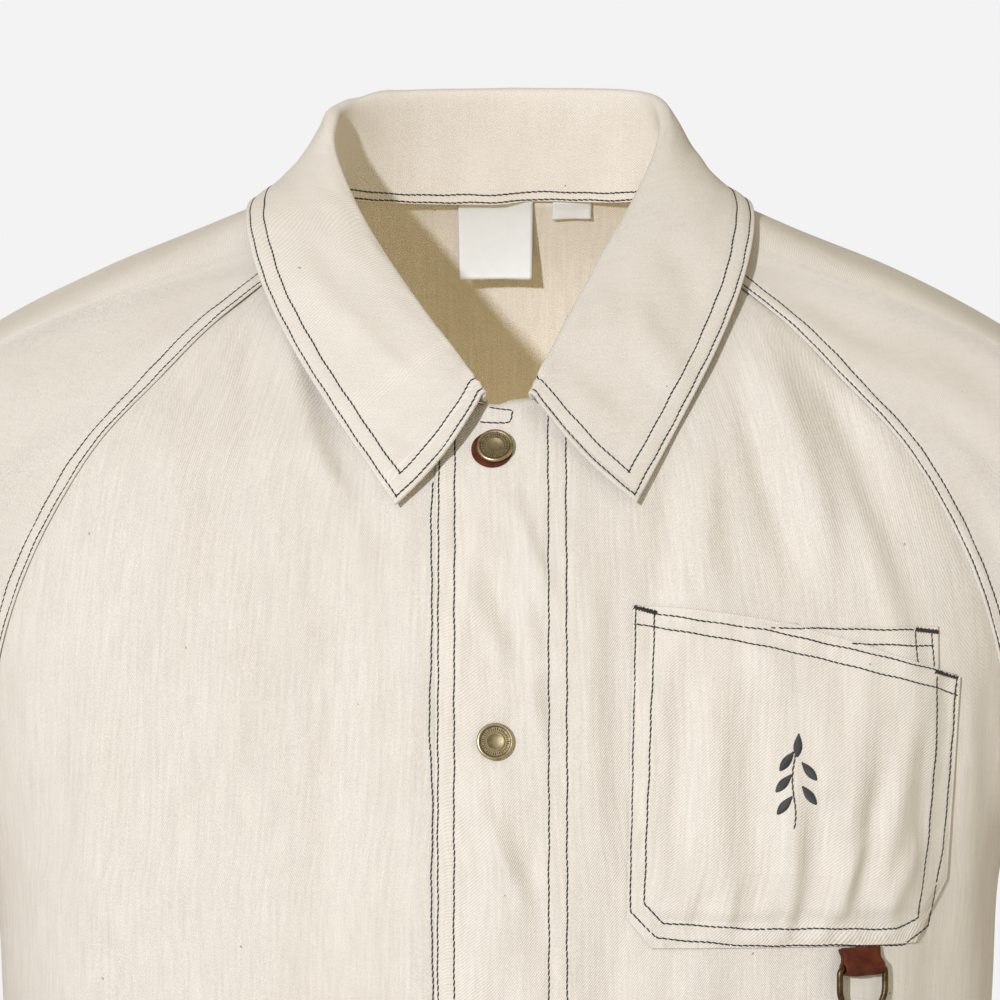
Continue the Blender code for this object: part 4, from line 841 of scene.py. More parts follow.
print("stage: pockets")
pocketLook = {
    "cornerX": (55.5, 195.5, 190, 180, 175.5, 63, 52.5), "cornerZ": (-171.5, -202, -288, -306, -314.5, -313.5, -301),
    "thick": 1.1 * mm, "lift": 0.7 * mm, "bulge": 2.2 * mm, "bow": 6.4 * mm, "sewnAt": (1.2 * mm, 7.7 * mm),
    "inner": (66, 186, -180.5, -300),
}
pocketCreases = (
    (78, -190, 74, -300, 6, -0.9), (92, -205, 90, -306, 6, 0.8), (110, -200, 104, -312, 7, -0.8),
    (124, -230, 118, -314, 5, 0.9), (136, -250, 124, -314, 5, -0.9), (150, -215, 140, -312, 7, 1.0),
    (160, -240, 148, -308, 5, -1.0), (172, -220, 160, -300, 6, 1.1), (182, -215, 176, -290, 5, -0.9),
    (66, -200, 63, -290, 4, 0.6), (100, -180, 118, -210, 7, 0.7), (140, -192, 150, -240, 6, -0.7),
    (152, -262, 136, -312, 4, 0.9), (176, -268, 158, -306, 4, 0.8), (98, -286, 94, -314, 3.5, 0.7),
    (84, -290, 82, -313, 3.5, -0.6), (112, -292, 108, -314, 3, 0.6), (128, -292, 124, -315, 3, -0.6),
)


def patch(tree, x, z, lift, thick, startY=-0.4):  # a cloth wall on what a ray along +Y meets
    hits = np.zeros(x.shape + (3,))
    for i in range(x.shape[0]):
        for j in range(x.shape[1]):
            hit, _, _, _ = tree.ray_cast(Vector((x[i, j], startY, z[i, j])), Vector((0, 1, 0)))
            hits[i, j] = hit
    normals = gridNormals(hits, False, 1.0)
    if np.mean(normals[..., 1]) > 0:
        normals = -normals
    for _ in range(2):
        normals[1:-1, 1:-1] = unit(normals[1:-1, 1:-1] * 2 + normals[2:, 1:-1] + normals[:-2, 1:-1] + normals[1:-1, 2:] + normals[1:-1, :-2])
    return hits + normals * (lift + thick)[..., None], normals


def borderShares(length, count):
    edge = np.array([0, 0.3, 0.7, 1.3]) * mm / length
    return np.unique(np.concatenate([edge, np.linspace(0, 1, count)[1:-1], 1 - edge]))


frontTree = treeOf(fronts[1]["object"])
left, right, top, bottom = (v * mm for v in pocketLook["inner"])
shareX, shareZ = borderShares(0.12, 40), borderShares(0.12, 40)
x = left + (right - 6 * mm * shareZ[:, None] ** 2 - left) * shareX[None, :]
z = np.broadcast_to((top + (bottom - top) * shareZ)[:, None], x.shape)
border = np.minimum(np.minimum(x - left, x[:, -1:] - x), np.minimum(top - z, z - bottom))
lift = 0.35 * mm + 0.2 * mm * cloud(x, z, 81, 12 * mm, 9 * mm) * ease(border, 1 * mm, 5 * mm)
thick = 1.0 * mm * roundEdge(border, 1.0 * mm)
innerPoints, innerNormals = patch(frontTree, x, z, lift, thick)
innerPocket = shell("cloth_pocket_inner", innerPoints, thick, innerNormals)
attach(innerPocket, "jacket")
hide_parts("pocket_inner")


def pocketOutline(shares, corners):
    out = []
    for value in shares:
        i = min(int(value), len(corners) - 2)
        out.append(corners[i] + (corners[i + 1] - corners[i]) * (value - i))
    return np.array(out)


corner = np.stack([pocketLook["cornerX"], pocketLook["cornerZ"]], -1) * mm
down = np.sort(np.unique(np.concatenate([borderShares(0.14, 58), [0.92, 0.76]])))
across = borderShares(0.14, 60)
leftLine = pocketOutline(np.where(down < 0.92, down / 0.92, 1 + (down - 0.92) / 0.08), corner[[0, 6, 5]])
rightLine = pocketOutline(np.interp(down, (0, 0.76, 0.92, 1), (0, 1, 2, 3)), corner[[1, 2, 3, 4]])
grid = leftLine[:, None, :] * (1 - across[None, :, None]) + rightLine[:, None, :] * across[None, :, None]
x = grid[..., 0]
topBow = pocketLook["bow"] * np.sin(math.pi * across[None, :] ** 0.85) * (1 - ease(down, 0, 0.5))[:, None]
z = grid[..., 1] + topBow  # the hem of the opening is bowed upwards


def toSides(x, z, corners):  # distance to the nearest side of the outline
    d = np.full(x.shape, 1.0)
    for a, b in zip(corners, np.roll(corners, -1, axis=0)):
        ab = b - a
        t = np.clip(((x - a[0]) * ab[0] + (z - a[1]) * ab[1]) / np.dot(ab, ab), 0, 1)
        d = np.minimum(d, np.hypot(x - a[0] - t * ab[0], z - a[1] - t * ab[1]))
    return d


border = toSides(x, z - topBow, corner)
topSide = toSides(x, z - topBow, corner[[0, 1]])
lowSide = toSides(x, z, corner[[4, 5]])
s, t = across[None, :], down[:, None]
bulge = np.sin(math.pi * s) ** 0.7 * np.sin(math.pi * (0.12 + 0.88 * t)) ** 0.7
lift = pocketLook["lift"] + pocketLook["bulge"] * bulge * ease(border, 5 * mm, 16 * mm)
lift = lift + 0.9 * mm * bell(topSide, 0, 8 * mm) * np.sin(math.pi * s)
loose = cloud(x, z, 82, 9 * mm, 40 * mm) + 0.8 * cloud(x, z, 83, 18 * mm, 30 * mm)
lift = lift + (0.6 * mm * loose + 2.3 * creaseSum(pocketCreases, x, z)) * ease(border, 1.5 * mm, 8 * mm)
for d in pocketLook["sewnAt"]:
    lift = lift - 0.4 * mm * bell(border, d, 0.85 * mm)
around = x - z
rope = np.sin(around / (2.4 * mm) + 2 * cloud(x, z, 84, 15 * mm, 15 * mm))
lift = lift + (0.3 * mm + 0.3 * mm * rope) * bell(border, 4.4 * mm, 2.4 * mm)
lift = lift + 0.4 * mm * np.sin(x / (2.3 * mm) + cloud(x, z, 85, 14 * mm, 99)) * bell(lowSide, 10 * mm, 8 * mm) * ease(lowSide, 1 * mm, 4 * mm)
lift = np.maximum(lift, 0.3 * mm)
thick = pocketLook["thick"] * roundEdge(border, pocketLook["thick"])
outerPoints, outerNormals = patch(treeOf(fronts[1]["object"], innerPocket), x, z, lift, thick)
outerPocket = shell("cloth_pocket_outer", outerPoints, thick, outerNormals)
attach(outerPocket, "jacket")
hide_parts("pocket_outer")

print("stage: materials")


class Nodes:  # short hand for building a node tree
    def __init__(self, name):
        self.material = bpy.data.materials.new(name)
        self.material.use_nodes = True
        self.tree = self.material.node_tree
        self.shader = self.tree.nodes["Principled BSDF"]

    def add(self, kind, settings=None, **inputs):
        node = self.tree.nodes.new("ShaderNode" + kind)
        for key, value in (settings or {}).items():
            setattr(node, key, value)
        for key, value in inputs.items():
            self.feed(node.inputs[int(key[1:]) if key[0] == "i" and key[1:].isdigit() else key.replace("_", " ")], value)
        return node

    def feed(self, socket, value):
        if isinstance(value, bpy.types.NodeSocket):
            self.tree.links.new(value, socket)
        else:
            socket.default_value = value

    def math(self, operation, a, b=0.0, clamp=False):
        return self.add("Math", {"operation": operation, "use_clamp": clamp}, i0=a, i1=b).outputs[0]

    def mix(self, share, a, b, way="MIX"):
        node = self.add("Mix", {"data_type": "RGBA", "blend_type": way}, i0=share, i6=a, i7=b)
        return node.outputs[2]

    def ramp(self, value, low, high, start=0.0, end=1.0):
        node = self.add("MapRange", {"clamp": True}, i0=value, i1=low, i2=high, i3=start, i4=end)
        return node.outputs[0]

    def noise(self, where, scale, detail=2.0, rough=0.5):
        return self.add("TexNoise", None, Vector=where, Scale=scale, Detail=detail, Roughness=rough).outputs[0]

    def finish(self, colour, rough, bumps=(), metal=0.0, sheen=0.0):
        self.feed(self.shader.inputs["Base Color"], colour)
        self.feed(self.shader.inputs["Roughness"], rough)
        self.feed(self.shader.inputs["Metallic"], metal)
        if sheen:
            self.shader.inputs["Sheen Weight"].default_value = sheen
            self.shader.inputs["Sheen Roughness"].default_value = 0.6
            self.shader.inputs["Sheen Tint"].default_value = (0.95, 0.88, 0.76, 1)
        normal = None
        for height, strength, size in bumps:
            node = self.add("Bump", None, Strength=strength, Distance=size, Height=height)
            if normal is not None:
                self.feed(node.inputs["Normal"], normal)
            normal = node.outputs[0]
        if normal is not None:
            self.feed(self.shader.inputs["Normal"], normal)
        return self.material


denimLook = {
    "lit": (0.742, 0.690, 0.610, 1), "shade": (0.655, 0.595, 0.500, 1), "fleck": (0.30, 0.21, 0.13, 1),
    "lines": 467.0, "lineColour": 0.11, "streak": 0.075, "mottle": 0.07,
}


def denim(name, streaky=1.0):
    n = Nodes(name)
    look = denimLook
    place = n.add("UVMap", {"uv_map": "cloth"}).outputs[0]
    spot = n.add("TexCoord").outputs["Object"]
    wobble = n.noise(place, 90.0, 2.0)
    shifted = n.add("VectorMath", {"operation": "MULTIPLY_ADD"}, i0=n.add("TexNoise", None, Vector=place, Scale=160.0, Detail=2.0).outputs[1],
                    i1=(0.0004, 0.0004, 0.0), i2=place).outputs[0]
    twill = n.add("TexWave", {"wave_type": "BANDS", "bands_direction": "DIAGONAL", "wave_profile": "SIN"},
                  Vector=shifted, Scale=look["lines"], Distortion=0.9, Detail=1.0).outputs[1]
    stretched = n.add("Mapping", None, Vector=place, Scale=(1.0, 0.06, 1.0)).outputs[0]
    slub = n.noise(stretched, 620.0, 2.0, 0.6)
    fine = n.noise(place, 1500.0, 2.0, 0.6)
    mottle = n.noise(spot, 26.0, 3.0, 0.6)
    cells = n.add("TexVoronoi", {"feature": "F1"}, Vector=place, Scale=95.0)
    rare = n.math("GREATER_THAN", n.add("SeparateColor", None, i0=cells.outputs["Color"]).outputs[0], 0.8)
    dot = n.math("LESS_THAN", cells.outputs["Distance"], n.math("MULTIPLY", n.add("SeparateColor", None, i0=cells.outputs["Color"]).outputs[1], 0.07))
    fleck = n.math("MULTIPLY", n.math("MULTIPLY", rare, dot), 0.75)
    colour = n.mix(n.ramp(mottle, 0.35, 0.7, 0.0, look["mottle"] * 4), look["lit"], look["shade"])
    grain = n.math("ADD", n.math("MULTIPLY", n.math("SUBTRACT", twill, 0.5), look["lineColour"]),
                   n.math("MULTIPLY", n.math("SUBTRACT", slub, 0.5), look["streak"] * 4 * streaky))
    grain = n.math("ADD", grain, n.math("MULTIPLY", n.math("SUBTRACT", fine, 0.5), 0.26))
    grain = n.math("ADD", grain, n.math("MULTIPLY", n.math("SUBTRACT", wobble, 0.5), 0.05))
    level = n.math("ADD", 1.0, grain)
    colour = n.add("VectorMath", {"operation": "SCALE"}, i0=colour, Scale=level).outputs[0]
    colour = n.mix(fleck, colour, look["fleck"])
    bumps = ((twill, 0.6, 0.00028), (fine, 0.45, 0.0003), (slub, 0.35 * streaky, 0.0003))
    return n.finish(colour, 0.88, bumps, sheen=0.12)


denimMaterial = denim("ecru denim")
sleeveMaterial = denim("ecru denim, sleeves", 0.35)


def plainCloth(name, colour, dark, rough, thread, sheen=0.1):
    n = Nodes(name)
    place = n.add("UVMap", {"uv_map": "cloth"}).outputs[0]
    weave = n.add("TexWave", {"wave_type": "BANDS", "bands_direction": "X"}, Vector=place, Scale=thread, Distortion=0.6).outputs[1]
    cross = n.add("TexWave", {"wave_type": "BANDS", "bands_direction": "Y"}, Vector=place, Scale=thread, Distortion=0.6).outputs[1]
    soft = n.noise(place, 220.0, 2.0)
    mixed = n.mix(n.math("ADD", n.math("MULTIPLY", n.math("MULTIPLY", weave, cross), 0.35), n.math("MULTIPLY", soft, 0.4)), colour, dark)
    return n.finish(mixed, rough, ((weave, 0.3, 0.0001), (cross, 0.3, 0.0001)), sheen=sheen)


satinMaterial = plainCloth("white satin", (0.80, 0.83, 0.85, 1), (0.66, 0.69, 0.72, 1), 0.45, 700.0)


def threadCloth(name, colour, light):
    n = Nodes(name)
    spot = n.add("TexCoord").outputs["Object"]
    fuzz = n.noise(spot, 2600.0, 2.0)
    patchy = n.noise(spot, 120.0, 2.0)
    mixed = n.mix(n.ramp(n.math("ADD", n.math("MULTIPLY", fuzz, 0.6), n.math("MULTIPLY", patchy, 0.4)), 0.35, 0.7), colour, light)
    return n.finish(mixed, 0.62, ((fuzz, 0.4, 0.0001),))


threadMaterial = threadCloth("charcoal thread", (0.010, 0.010, 0.011, 1), (0.034, 0.032, 0.030, 1))
motifMaterial = threadCloth("dark grey thread", (0.030, 0.030, 0.032, 1), (0.085, 0.083, 0.080, 1))


def metal(name, colour, dark, rough, wear=0.6):
    n = Nodes(name)
    spot = n.add("TexCoord").outputs["Object"]
    large = n.noise(spot, 240.0, 4.0, 0.65)
    small = n.noise(spot, 1300.0, 3.0, 0.6)
    mixed = n.mix(n.ramp(n.math("ADD", n.math("MULTIPLY", large, 0.65), n.math("MULTIPLY", small, 0.35)), 0.62 - wear * 0.3, 0.62), colour, dark)
    return n.finish(mixed, n.ramp(small, 0.3, 0.7, rough, rough + 0.18), ((small, 0.25, 0.00012),), metal=1.0)


brassMaterial = metal("antique brass", (*snapLook["brass"], 1), (0.17, 0.13, 0.065, 1), 0.42, 0.4)
rimMaterial = metal("brass rim", (*snapLook["rim"], 1), (0.26, 0.19, 0.09, 1), 0.26, 0.3)
ringMaterial = metal("dark brass", (0.17, 0.12, 0.06, 1), (0.05, 0.032, 0.016, 1), 0.3, 0.8)
patinaMaterial = metal("brass patina", (*snapLook["patina"], 1), (0.07, 0.05, 0.028, 1), 0.5, 0.9)


def leather(name, colour, dark, pale):
    n = Nodes(name)
    spot = n.add("TexCoord").outputs["Object"]
    cells = n.add("TexVoronoi", {"feature": "DISTANCE_TO_EDGE"}, Vector=spot, Scale=1400.0).outputs["Distance"]
    pores = n.noise(spot, 800.0, 3.0)
    worn = n.noise(spot, 160.0, 4.0, 0.6)
    mixed = n.mix(n.ramp(worn, 0.35, 0.62), colour, dark)
    mixed = n.mix(n.ramp(pores, 0.62, 0.75, 0.0, 0.5), mixed, pale)
    n.shader.inputs["Specular IOR Level"].default_value = 0.22
    return n.finish(mixed, n.ramp(worn, 0.3, 0.7, 0.5, 0.7), ((n.ramp(cells, 0.0, 0.12), 0.35, 0.00016), (pores, 0.3, 0.0002)))


leatherMaterial = leather("rust leather", (0.125, 0.025, 0.006, 1), (0.070, 0.013, 0.004, 1), (0.19, 0.055, 0.02, 1))

print("stage: stitching")
threadLook = {"pitch": 2.7 * mm, "fill": 0.98, "wide": 0.36 * mm, "high": 0.22 * mm, "proud": 0.1 * mm,
              "colour": (0.022, 0.022, 0.025)}


def tubes(name, strands, wide, high, proud, sides=5):  # short threads, each a list of points with normals
    vertices, faces = [], []
    for points, normals in strands:
        points, normals = np.asarray(points), np.asarray(normals)
        n = len(points)
        way = unit(np.gradient(points, axis=0))
        across = unit(np.cross(way, normals))
        start = len(vertices)
        for k in range(n):
            end = k in (0, n - 1)
            size = 0.7 if end else 1.0
            centre = points[k] + normals[k] * (-0.04 * mm if end else proud)
            for a in range(sides):
                turn = 2 * math.pi * (a + 0.5) / sides
                vertices.append(centre + size * (math.cos(turn) * wide * across[k] + math.sin(turn) * high * normals[k]))
        for k in range(n - 1):
            for a in range(sides):
                b = (a + 1) % sides
                faces.append((start + k * sides + a, start + k * sides + b, start + (k + 1) * sides + b, start + (k + 1) * sides + a))
        faces.append(tuple(start + a for a in range(sides))[::-1])
        faces.append(tuple(start + (n - 1) * sides + a for a in range(sides)))
    made = meshPiece(name, vertices, faces)
    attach(made, "jacket")
    made.data.materials.append(threadMaterial)
    return made


def stitchesAlong(line, seed=0):  # lock stitches, each a little askew
    points, normals = line
    if len(points) < 2:
        return []
    keep = np.concatenate([[True], np.linalg.norm(np.diff(points, axis=0), axis=1) > 1e-6])
    points, normals = points[keep], normals[keep]
    steps = np.linalg.norm(np.diff(points, axis=0), axis=1)
    run = np.concatenate([[0], np.cumsum(steps)])
    count = max(1, int(round(run[-1] / threadLook["pitch"])))
    pitch = run[-1] / count
    way = unit(np.gradient(points, axis=0))
    out = []
    spare = (1 - threadLook["fill"]) / 2
    for k in range(count):
        s = (k + np.array([spare, 0.3, 0.7, 1 - spare])) * pitch
        p = np.stack([np.interp(s, run, points[:, c]) for c in range(3)], -1)
        n = unit(np.stack([np.interp(s, run, normals[:, c]) for c in range(3)], -1))
        w = unit(np.stack([np.interp(s, run, way[:, c]) for c in range(3)], -1))
        side = np.cross(w, n)
        askew = np.array([-1, -0.5, 0.5, 1])[:, None] * 0.14 * mm
        wander = 0.13 * mm * math.sin(k * 0.9 + seed) + 0.1 * mm * math.sin(k * 0.37 + 2 * seed)
        out.append((p + side * (askew + wander), n))
    return out



def gridLine(piece, rows, columns, trim=0.0):  # a stitch line through grid places, leaving out missing ones
    rows, columns = np.broadcast_arrays(np.asarray(rows, float), np.asarray(columns, float))
    good = ~(np.isnan(rows) | np.isnan(columns))
    points, normals = lineOn(piece, rows[good], columns[good])
    if trim:
        run = np.concatenate([[0], np.cumsum(np.linalg.norm(np.diff(points, axis=0), axis=1))])
        keep = (run > trim) & (run < run[-1] - trim)
        points, normals = points[keep], normals[keep]
    return points, normals


stitched = {"front_right": [], "front_left": [], "back": [], "sleeve_right": [], "sleeve_left": [], "collar": [], "pocket": []}

# the left front: its folded edge, its facing and its hem
left = fronts[1]
rowCount, columnCount = left["points"].shape[:2]
everyRow = np.arange(1, rowCount - 2, 0.5)
neckRows = everyRow[np.interp(everyRow, np.arange(rowCount), left["z"][:, 0]) < left["z"][0, 0] - 2.5 * mm]
for k, d in enumerate(frontLook["sewn"] + frontLook["facing"]):
    column = np.interp(d * mm, left["even"], np.arange(len(left["even"])))
    stitched["front_left"] += stitchesAlong(gridLine(left, neckRows, column), k)
for side, name in ((-1, "front_right"), (1, "front_left")):
    piece = fronts[side]
    columns = np.arange(0, columnCount - 1, 0.5)
    for k, d in enumerate(frontLook["hem"]):
        place = (rowCount - 1) - crossing(piece["toHem"][::-1], d * mm, 0)
        rows = np.interp(columns, np.arange(columnCount), place)
        keep = np.interp(columns, np.arange(columnCount), piece["toSeam"][-10]) > 1.5 * mm
        keep &= np.interp(columns, np.arange(columnCount), piece["fromEdge"][-10]) > 1.0 * mm
        stitched[name] += stitchesAlong(gridLine(piece, rows[keep], columns[keep]), k)

# the right front's facing shows beside the placket as one wavering line
right = fronts[-1]
rows = np.arange(8, rowCount - 2, 0.5)
facingX = -28.6 * mm + 0.5 * mm * np.sin(rows * 0.21) + 0.35 * mm * np.sin(rows * 0.083 + 1)
columns = np.array([np.interp(-value, -right["x"][int(r)][: len(right["even"])], np.arange(len(right["even"]))) for r, value in zip(rows, facingX)])
rightLine = gridLine(right, rows, columns)
rightLine = tuple(part[rightLine[0][:, 2] < -118 * mm] for part in rightLine)
stitched["front_right"] += stitchesAlong(rightLine, 3)

# the back: side seams and hem
rowCount, columnCount = backCloth["points"].shape[:2]
for k, d in enumerate((1.0, 7.4)):
    sideRows = np.arange(int(np.argmax(backCloth["blend"] > 0.9)), rowCount - 1)
    half = columnCount // 2
    first = crossing(backCloth["toSeam"][sideRows][:, :half].T, d * mm, 0)
    stitched["back"] += stitchesAlong(gridLine(backCloth, sideRows, first), k)
    stitched["back"] += stitchesAlong(gridLine(backCloth, sideRows, columnCount - 1 - first), k + 1)
    place = (rowCount - 1) - crossing(backCloth["toHem"][::-1], frontLook["hem"][k] * mm, 0)
    columns = np.arange(1, columnCount - 2, 0.5)
    stitched["back"] += stitchesAlong(gridLine(backCloth, np.interp(columns, np.arange(columnCount), place), columns), k + 2)

# the sleeves: the lapped seam, the cuffs and the seam under the arm
for side, name in ((-1, "sleeve_right"), (1, "sleeve_left")):
    piece = sleeves[side]
    rowCount, columnCount = piece["points"].shape[:2]
    columns = np.arange(0, columnCount + 0.01, 0.5)
    for k, d in enumerate(sleeveLook["sewn"]):
        place = crossing(piece["fromSeam"], (d + 1.1) * mm, 0)
        rows = np.interp(columns, np.arange(columnCount + 1), np.append(place, place[0]))
        stitched[name] += stitchesAlong(gridLine(piece, rows, columns), k)
    for k, d in enumerate(sleeveLook["hem"]):
        place = (rowCount - 1) - crossing(piece["toCuff"][::-1], d * mm, 0)
        rows = np.interp(columns, np.arange(columnCount + 1), np.append(place, place[0]))
        stitched[name] += stitchesAlong(gridLine(piece, rows, columns), k + 4)
    under = int(np.argmin(np.cos(piece["turn"])))
    rows = np.arange(int(np.argmax(piece["down"][:, 0] > 0.44)), rowCount - 1)
    for k, d in enumerate((1.6, 8.0)):
        shift = d * mm / (sleeveLook["radius"] * 2 * math.pi / columnCount)
        stitched[name] += stitchesAlong(gridLine(piece, rows, np.full(len(rows), under + shift)), k)

# the collar: two rows round the leaf, two on the inside of the back neck
rowCount, columnCount = collarData["points"].shape[:2]
leafRows = np.arange(int(np.argmax(collarData["stations"] > 4.35)), rowCount)
for k, d in enumerate(collarLook["sewn"]):
    place = rowCount - 1 - crossing(collarData["toEdge"][::-1], d * mm, 0)
    columns = np.arange(0, columnCount - 1, 0.5)
    rows = np.interp(columns, np.arange(columnCount), place)
    clearRight = sample(collarData["toRight"][..., None], rows, columns)[..., 0] > (d - 1.2) * mm
    clearLeft = sample(collarData["toLeft"][..., None], rows, columns)[..., 0] > (d - 1.2) * mm
    keep = clearRight & clearLeft
    stitched["collar"] += stitchesAlong(gridLine(collarData, rows[keep], columns[keep]), k)
    for field, flip in ((collarData["toRight"], False), (collarData["toLeft"], True)):
        part = field[leafRows][:, ::-1] if flip else field[leafRows]
        place = crossing(part[:, :60].T, d * mm, 0)
        place = columnCount - 1 - place if flip else place
        keep = sample(collarData["toEdge"][..., None], leafRows.astype(float), place)[..., 0] > (d - 1.2) * mm
        stitched["collar"] += stitchesAlong(gridLine(collarData, leafRows[keep], place[keep]), k)
for k, station in enumerate(collarLook["neckRows"]):
    row = np.interp(station, collarData["stations"], np.arange(rowCount))
    columns = np.arange(columnCount * 0.2, columnCount * 0.8, 0.5)
    stitched["collar"] += stitchesAlong(gridLine(collarData, np.full(len(columns), row), columns), k)

# the pocket, from where its rows lie in the front view
pocketTree = treeOf(outerPocket, innerPocket, fronts[1]["object"])
pocketLines = (
    [(637, 606), (636, 609), (630, 912), (657, 938), (743, 946), (904, 945), (928, 926), (943, 848), (953, 733), (955, 690), (957, 676)],
    [(655, 613), (644, 904), (663, 923), (743, 929), (897, 929), (918, 918), (929, 835), (937, 733), (937, 676)],
    [(656, 614), (766, 630), (855, 650), (937, 670)],
    [(632, 624), (656, 627), (766, 646), (855, 667), (937, 688), (958, 695)],
    [(771, 628), (914, 630)], [(852, 644), (934, 646)], [(915, 632), (918, 662)], [(932, 632), (934, 667)],
)
for k, corners in enumerate(pocketLines):
    stitched["pocket"] += stitchesAlong(seen(pocketTree, between(corners, 2.0)), k)
frontOnly = treeOf(fronts[1]["object"])
boxLines = ([(489.5, 407.5), (512, 410)], [(513, 411), (511.5, 420), (508, 423), (480, 422)])
for k, corners in enumerate(boxLines):
    stitched["front_left"] += stitchesAlong(seen(frontOnly, between(corners, 1.0)), k)

# the bars of close stitches at the pocket's corners
barLines = (((634.5, 607), (656.5, 613)), ((916, 629.5), (938, 632)), ((936, 671.5), (957.5, 677.5)), ((631, 913), (637, 919)))
for a, b in barLines[:3]:
    a, b = np.array(a), np.array(b)
    way = (b - a) / np.linalg.norm(b - a)
    side = np.array([-way[1], way[0]]) * 2.1
    for n, share in enumerate(np.linspace(0, 1, 17)):
        middle = a + (b - a) * share
        long, short = 1 + 0.3 * math.sin(n * 2.3), 1 + 0.3 * math.sin(n * 3.1 + 1)
        ends = [middle - side * long + way * 0.6, middle - side * 0.3, middle + side * 0.3, middle + side * short - way * 0.6]
        points, normals = seen(pocketTree, ends)
        if len(points) == 4:
            stitched["pocket"].append((points + normals * 0.1 * mm, normals))

for name, strands in stitched.items():
    tubes("stitching_" + name, strands, threadLook["wide"], threadLook["high"], threadLook["proud"])

print("stage: sprig")
# a small plain sprig worked in satin stitch on the pocket
sprig = {"centre": (797, 783), "leaves": ((-12, 22, 40), (12, 12, -38), (-13, 0, 42), (12, -12, -40), (-10, -22, 36), (1, -38, 4))}
satin = []


def leafStitches(px, py, lean, length, wide):
    way = np.array([math.sin(lean * degree), -math.cos(lean * degree)])
    side = np.array([way[1], -way[0]])
    for share in np.linspace(0.04, 0.96, 19):
        half = wide * math.sin(math.pi * share) ** 0.8 * (1 - 0.25 * share)
        middle = np.array([px, py]) + way * length * (share - 0.5)
        across = [middle + side * half * s - way * 0.9 * abs(s) for s in (-1, -0.35, 0.35, 1)]
        points, normals = seen(pocketTree, across)
        if len(points) == 4:
            satin.append((points + normals * np.array([0, 0.16, 0.16, 0])[:, None] * mm, normals))


for dx, dy, lean in sprig["leaves"]:
    leafStitches(sprig["centre"][0] + dx, sprig["centre"][1] + dy, lean, 24, 5.2)
stem = [(sprig["centre"][0] - 3 + 2 * math.sin(k * 0.5), sprig["centre"][1] + 46 - k * 5.2) for k in range(17)]
satin += stitchesAlong(seen(pocketTree, between(stem, 1.5)), 2)
made = tubes("sprig", satin, 0.36 * mm, 0.24 * mm, 0.12 * mm)
made.data.materials.clear()
made.data.materials.append(motifMaterial)

print("stage: snaps")


def turned(name, profile, centre, facing, materials, sides=64, waves=None):  # a turned shape, profile of radius and height in mm
    facing = unit(np.array(facing))
    across = unit(np.cross([0, 0, 1], facing))
    up = np.cross(facing, across)
    vertices, faces, kinds = [], [], []
    for radius, height, kind in profile:
        for a in range(sides):
            turn = 2 * math.pi * a / sides
            wave = waves(radius, turn) if waves else 0.0
            vertices.append(centre + radius * mm * (math.cos(turn) * across + math.sin(turn) * up) + (height + wave) * mm * facing)
    for k in range(len(profile) - 1):
        for a in range(sides):
            b = (a + 1) % sides
            faces.append((k * sides + a, k * sides + b, (k + 1) * sides + b, (k + 1) * sides + a))
            kinds.append(profile[k][2])
    faces.append(tuple((len(profile) - 1) * sides + a for a in range(sides)))
    kinds.append(profile[-1][2])
    faces.append(tuple(range(sides))[::-1])
    kinds.append(profile[0][2])
    made = meshPiece(name, vertices, faces, sharp=38)
    for material in materials:
        made.data.materials.append(material)
    made.data.polygons.foreach_set("material_index", kinds)
    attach(made, "jacket")
    return made


# radius, height over the cloth in mm, and which finish: 0 brass, 1 bright rim, 2 patina
capProfile = (
    (6.4, -0.5, 2), (7.0, 0.1, 2), (7.5, 0.45, 1), (7.85, 0.95, 1), (7.9, 1.35, 1), (7.78, 1.75, 1), (7.5, 2.02, 1), (7.15, 2.1, 0), (6.85, 2.08, 0),
    (6.55, 2.0, 0), (6.35, 1.86, 2), (6.1, 1.78, 0), (5.2, 1.8, 0), (4.4, 1.8, 0), (4.15, 1.76, 2), (3.95, 1.8, 0), (3.6, 1.83, 0),
    (3.2, 1.72, 0), (2.6, 1.5, 0), (1.8, 1.34, 0), (1.0, 1.27, 0), (0.35, 1.25, 0),
)


def snapPlace(z):
    hit, _, _, _ = frontOnly.ray_cast(Vector((snapLook["x"], -0.4, z)), Vector((0, 1, 0)))
    near = []
    for a in range(12):
        turn = a * math.pi / 6
        near.append(frontOnly.ray_cast(Vector((snapLook["x"] + 7 * mm * math.cos(turn), -0.4, z + 7 * mm * math.sin(turn))), Vector((0, 1, 0)))[0])
    near = np.array(near)
    middle = near.mean(axis=0)
    _, _, ways = np.linalg.svd(near - middle)
    facing = ways[2] * -np.sign(ways[2][1])
    return np.array([snapLook["x"], middle[1], z]), facing


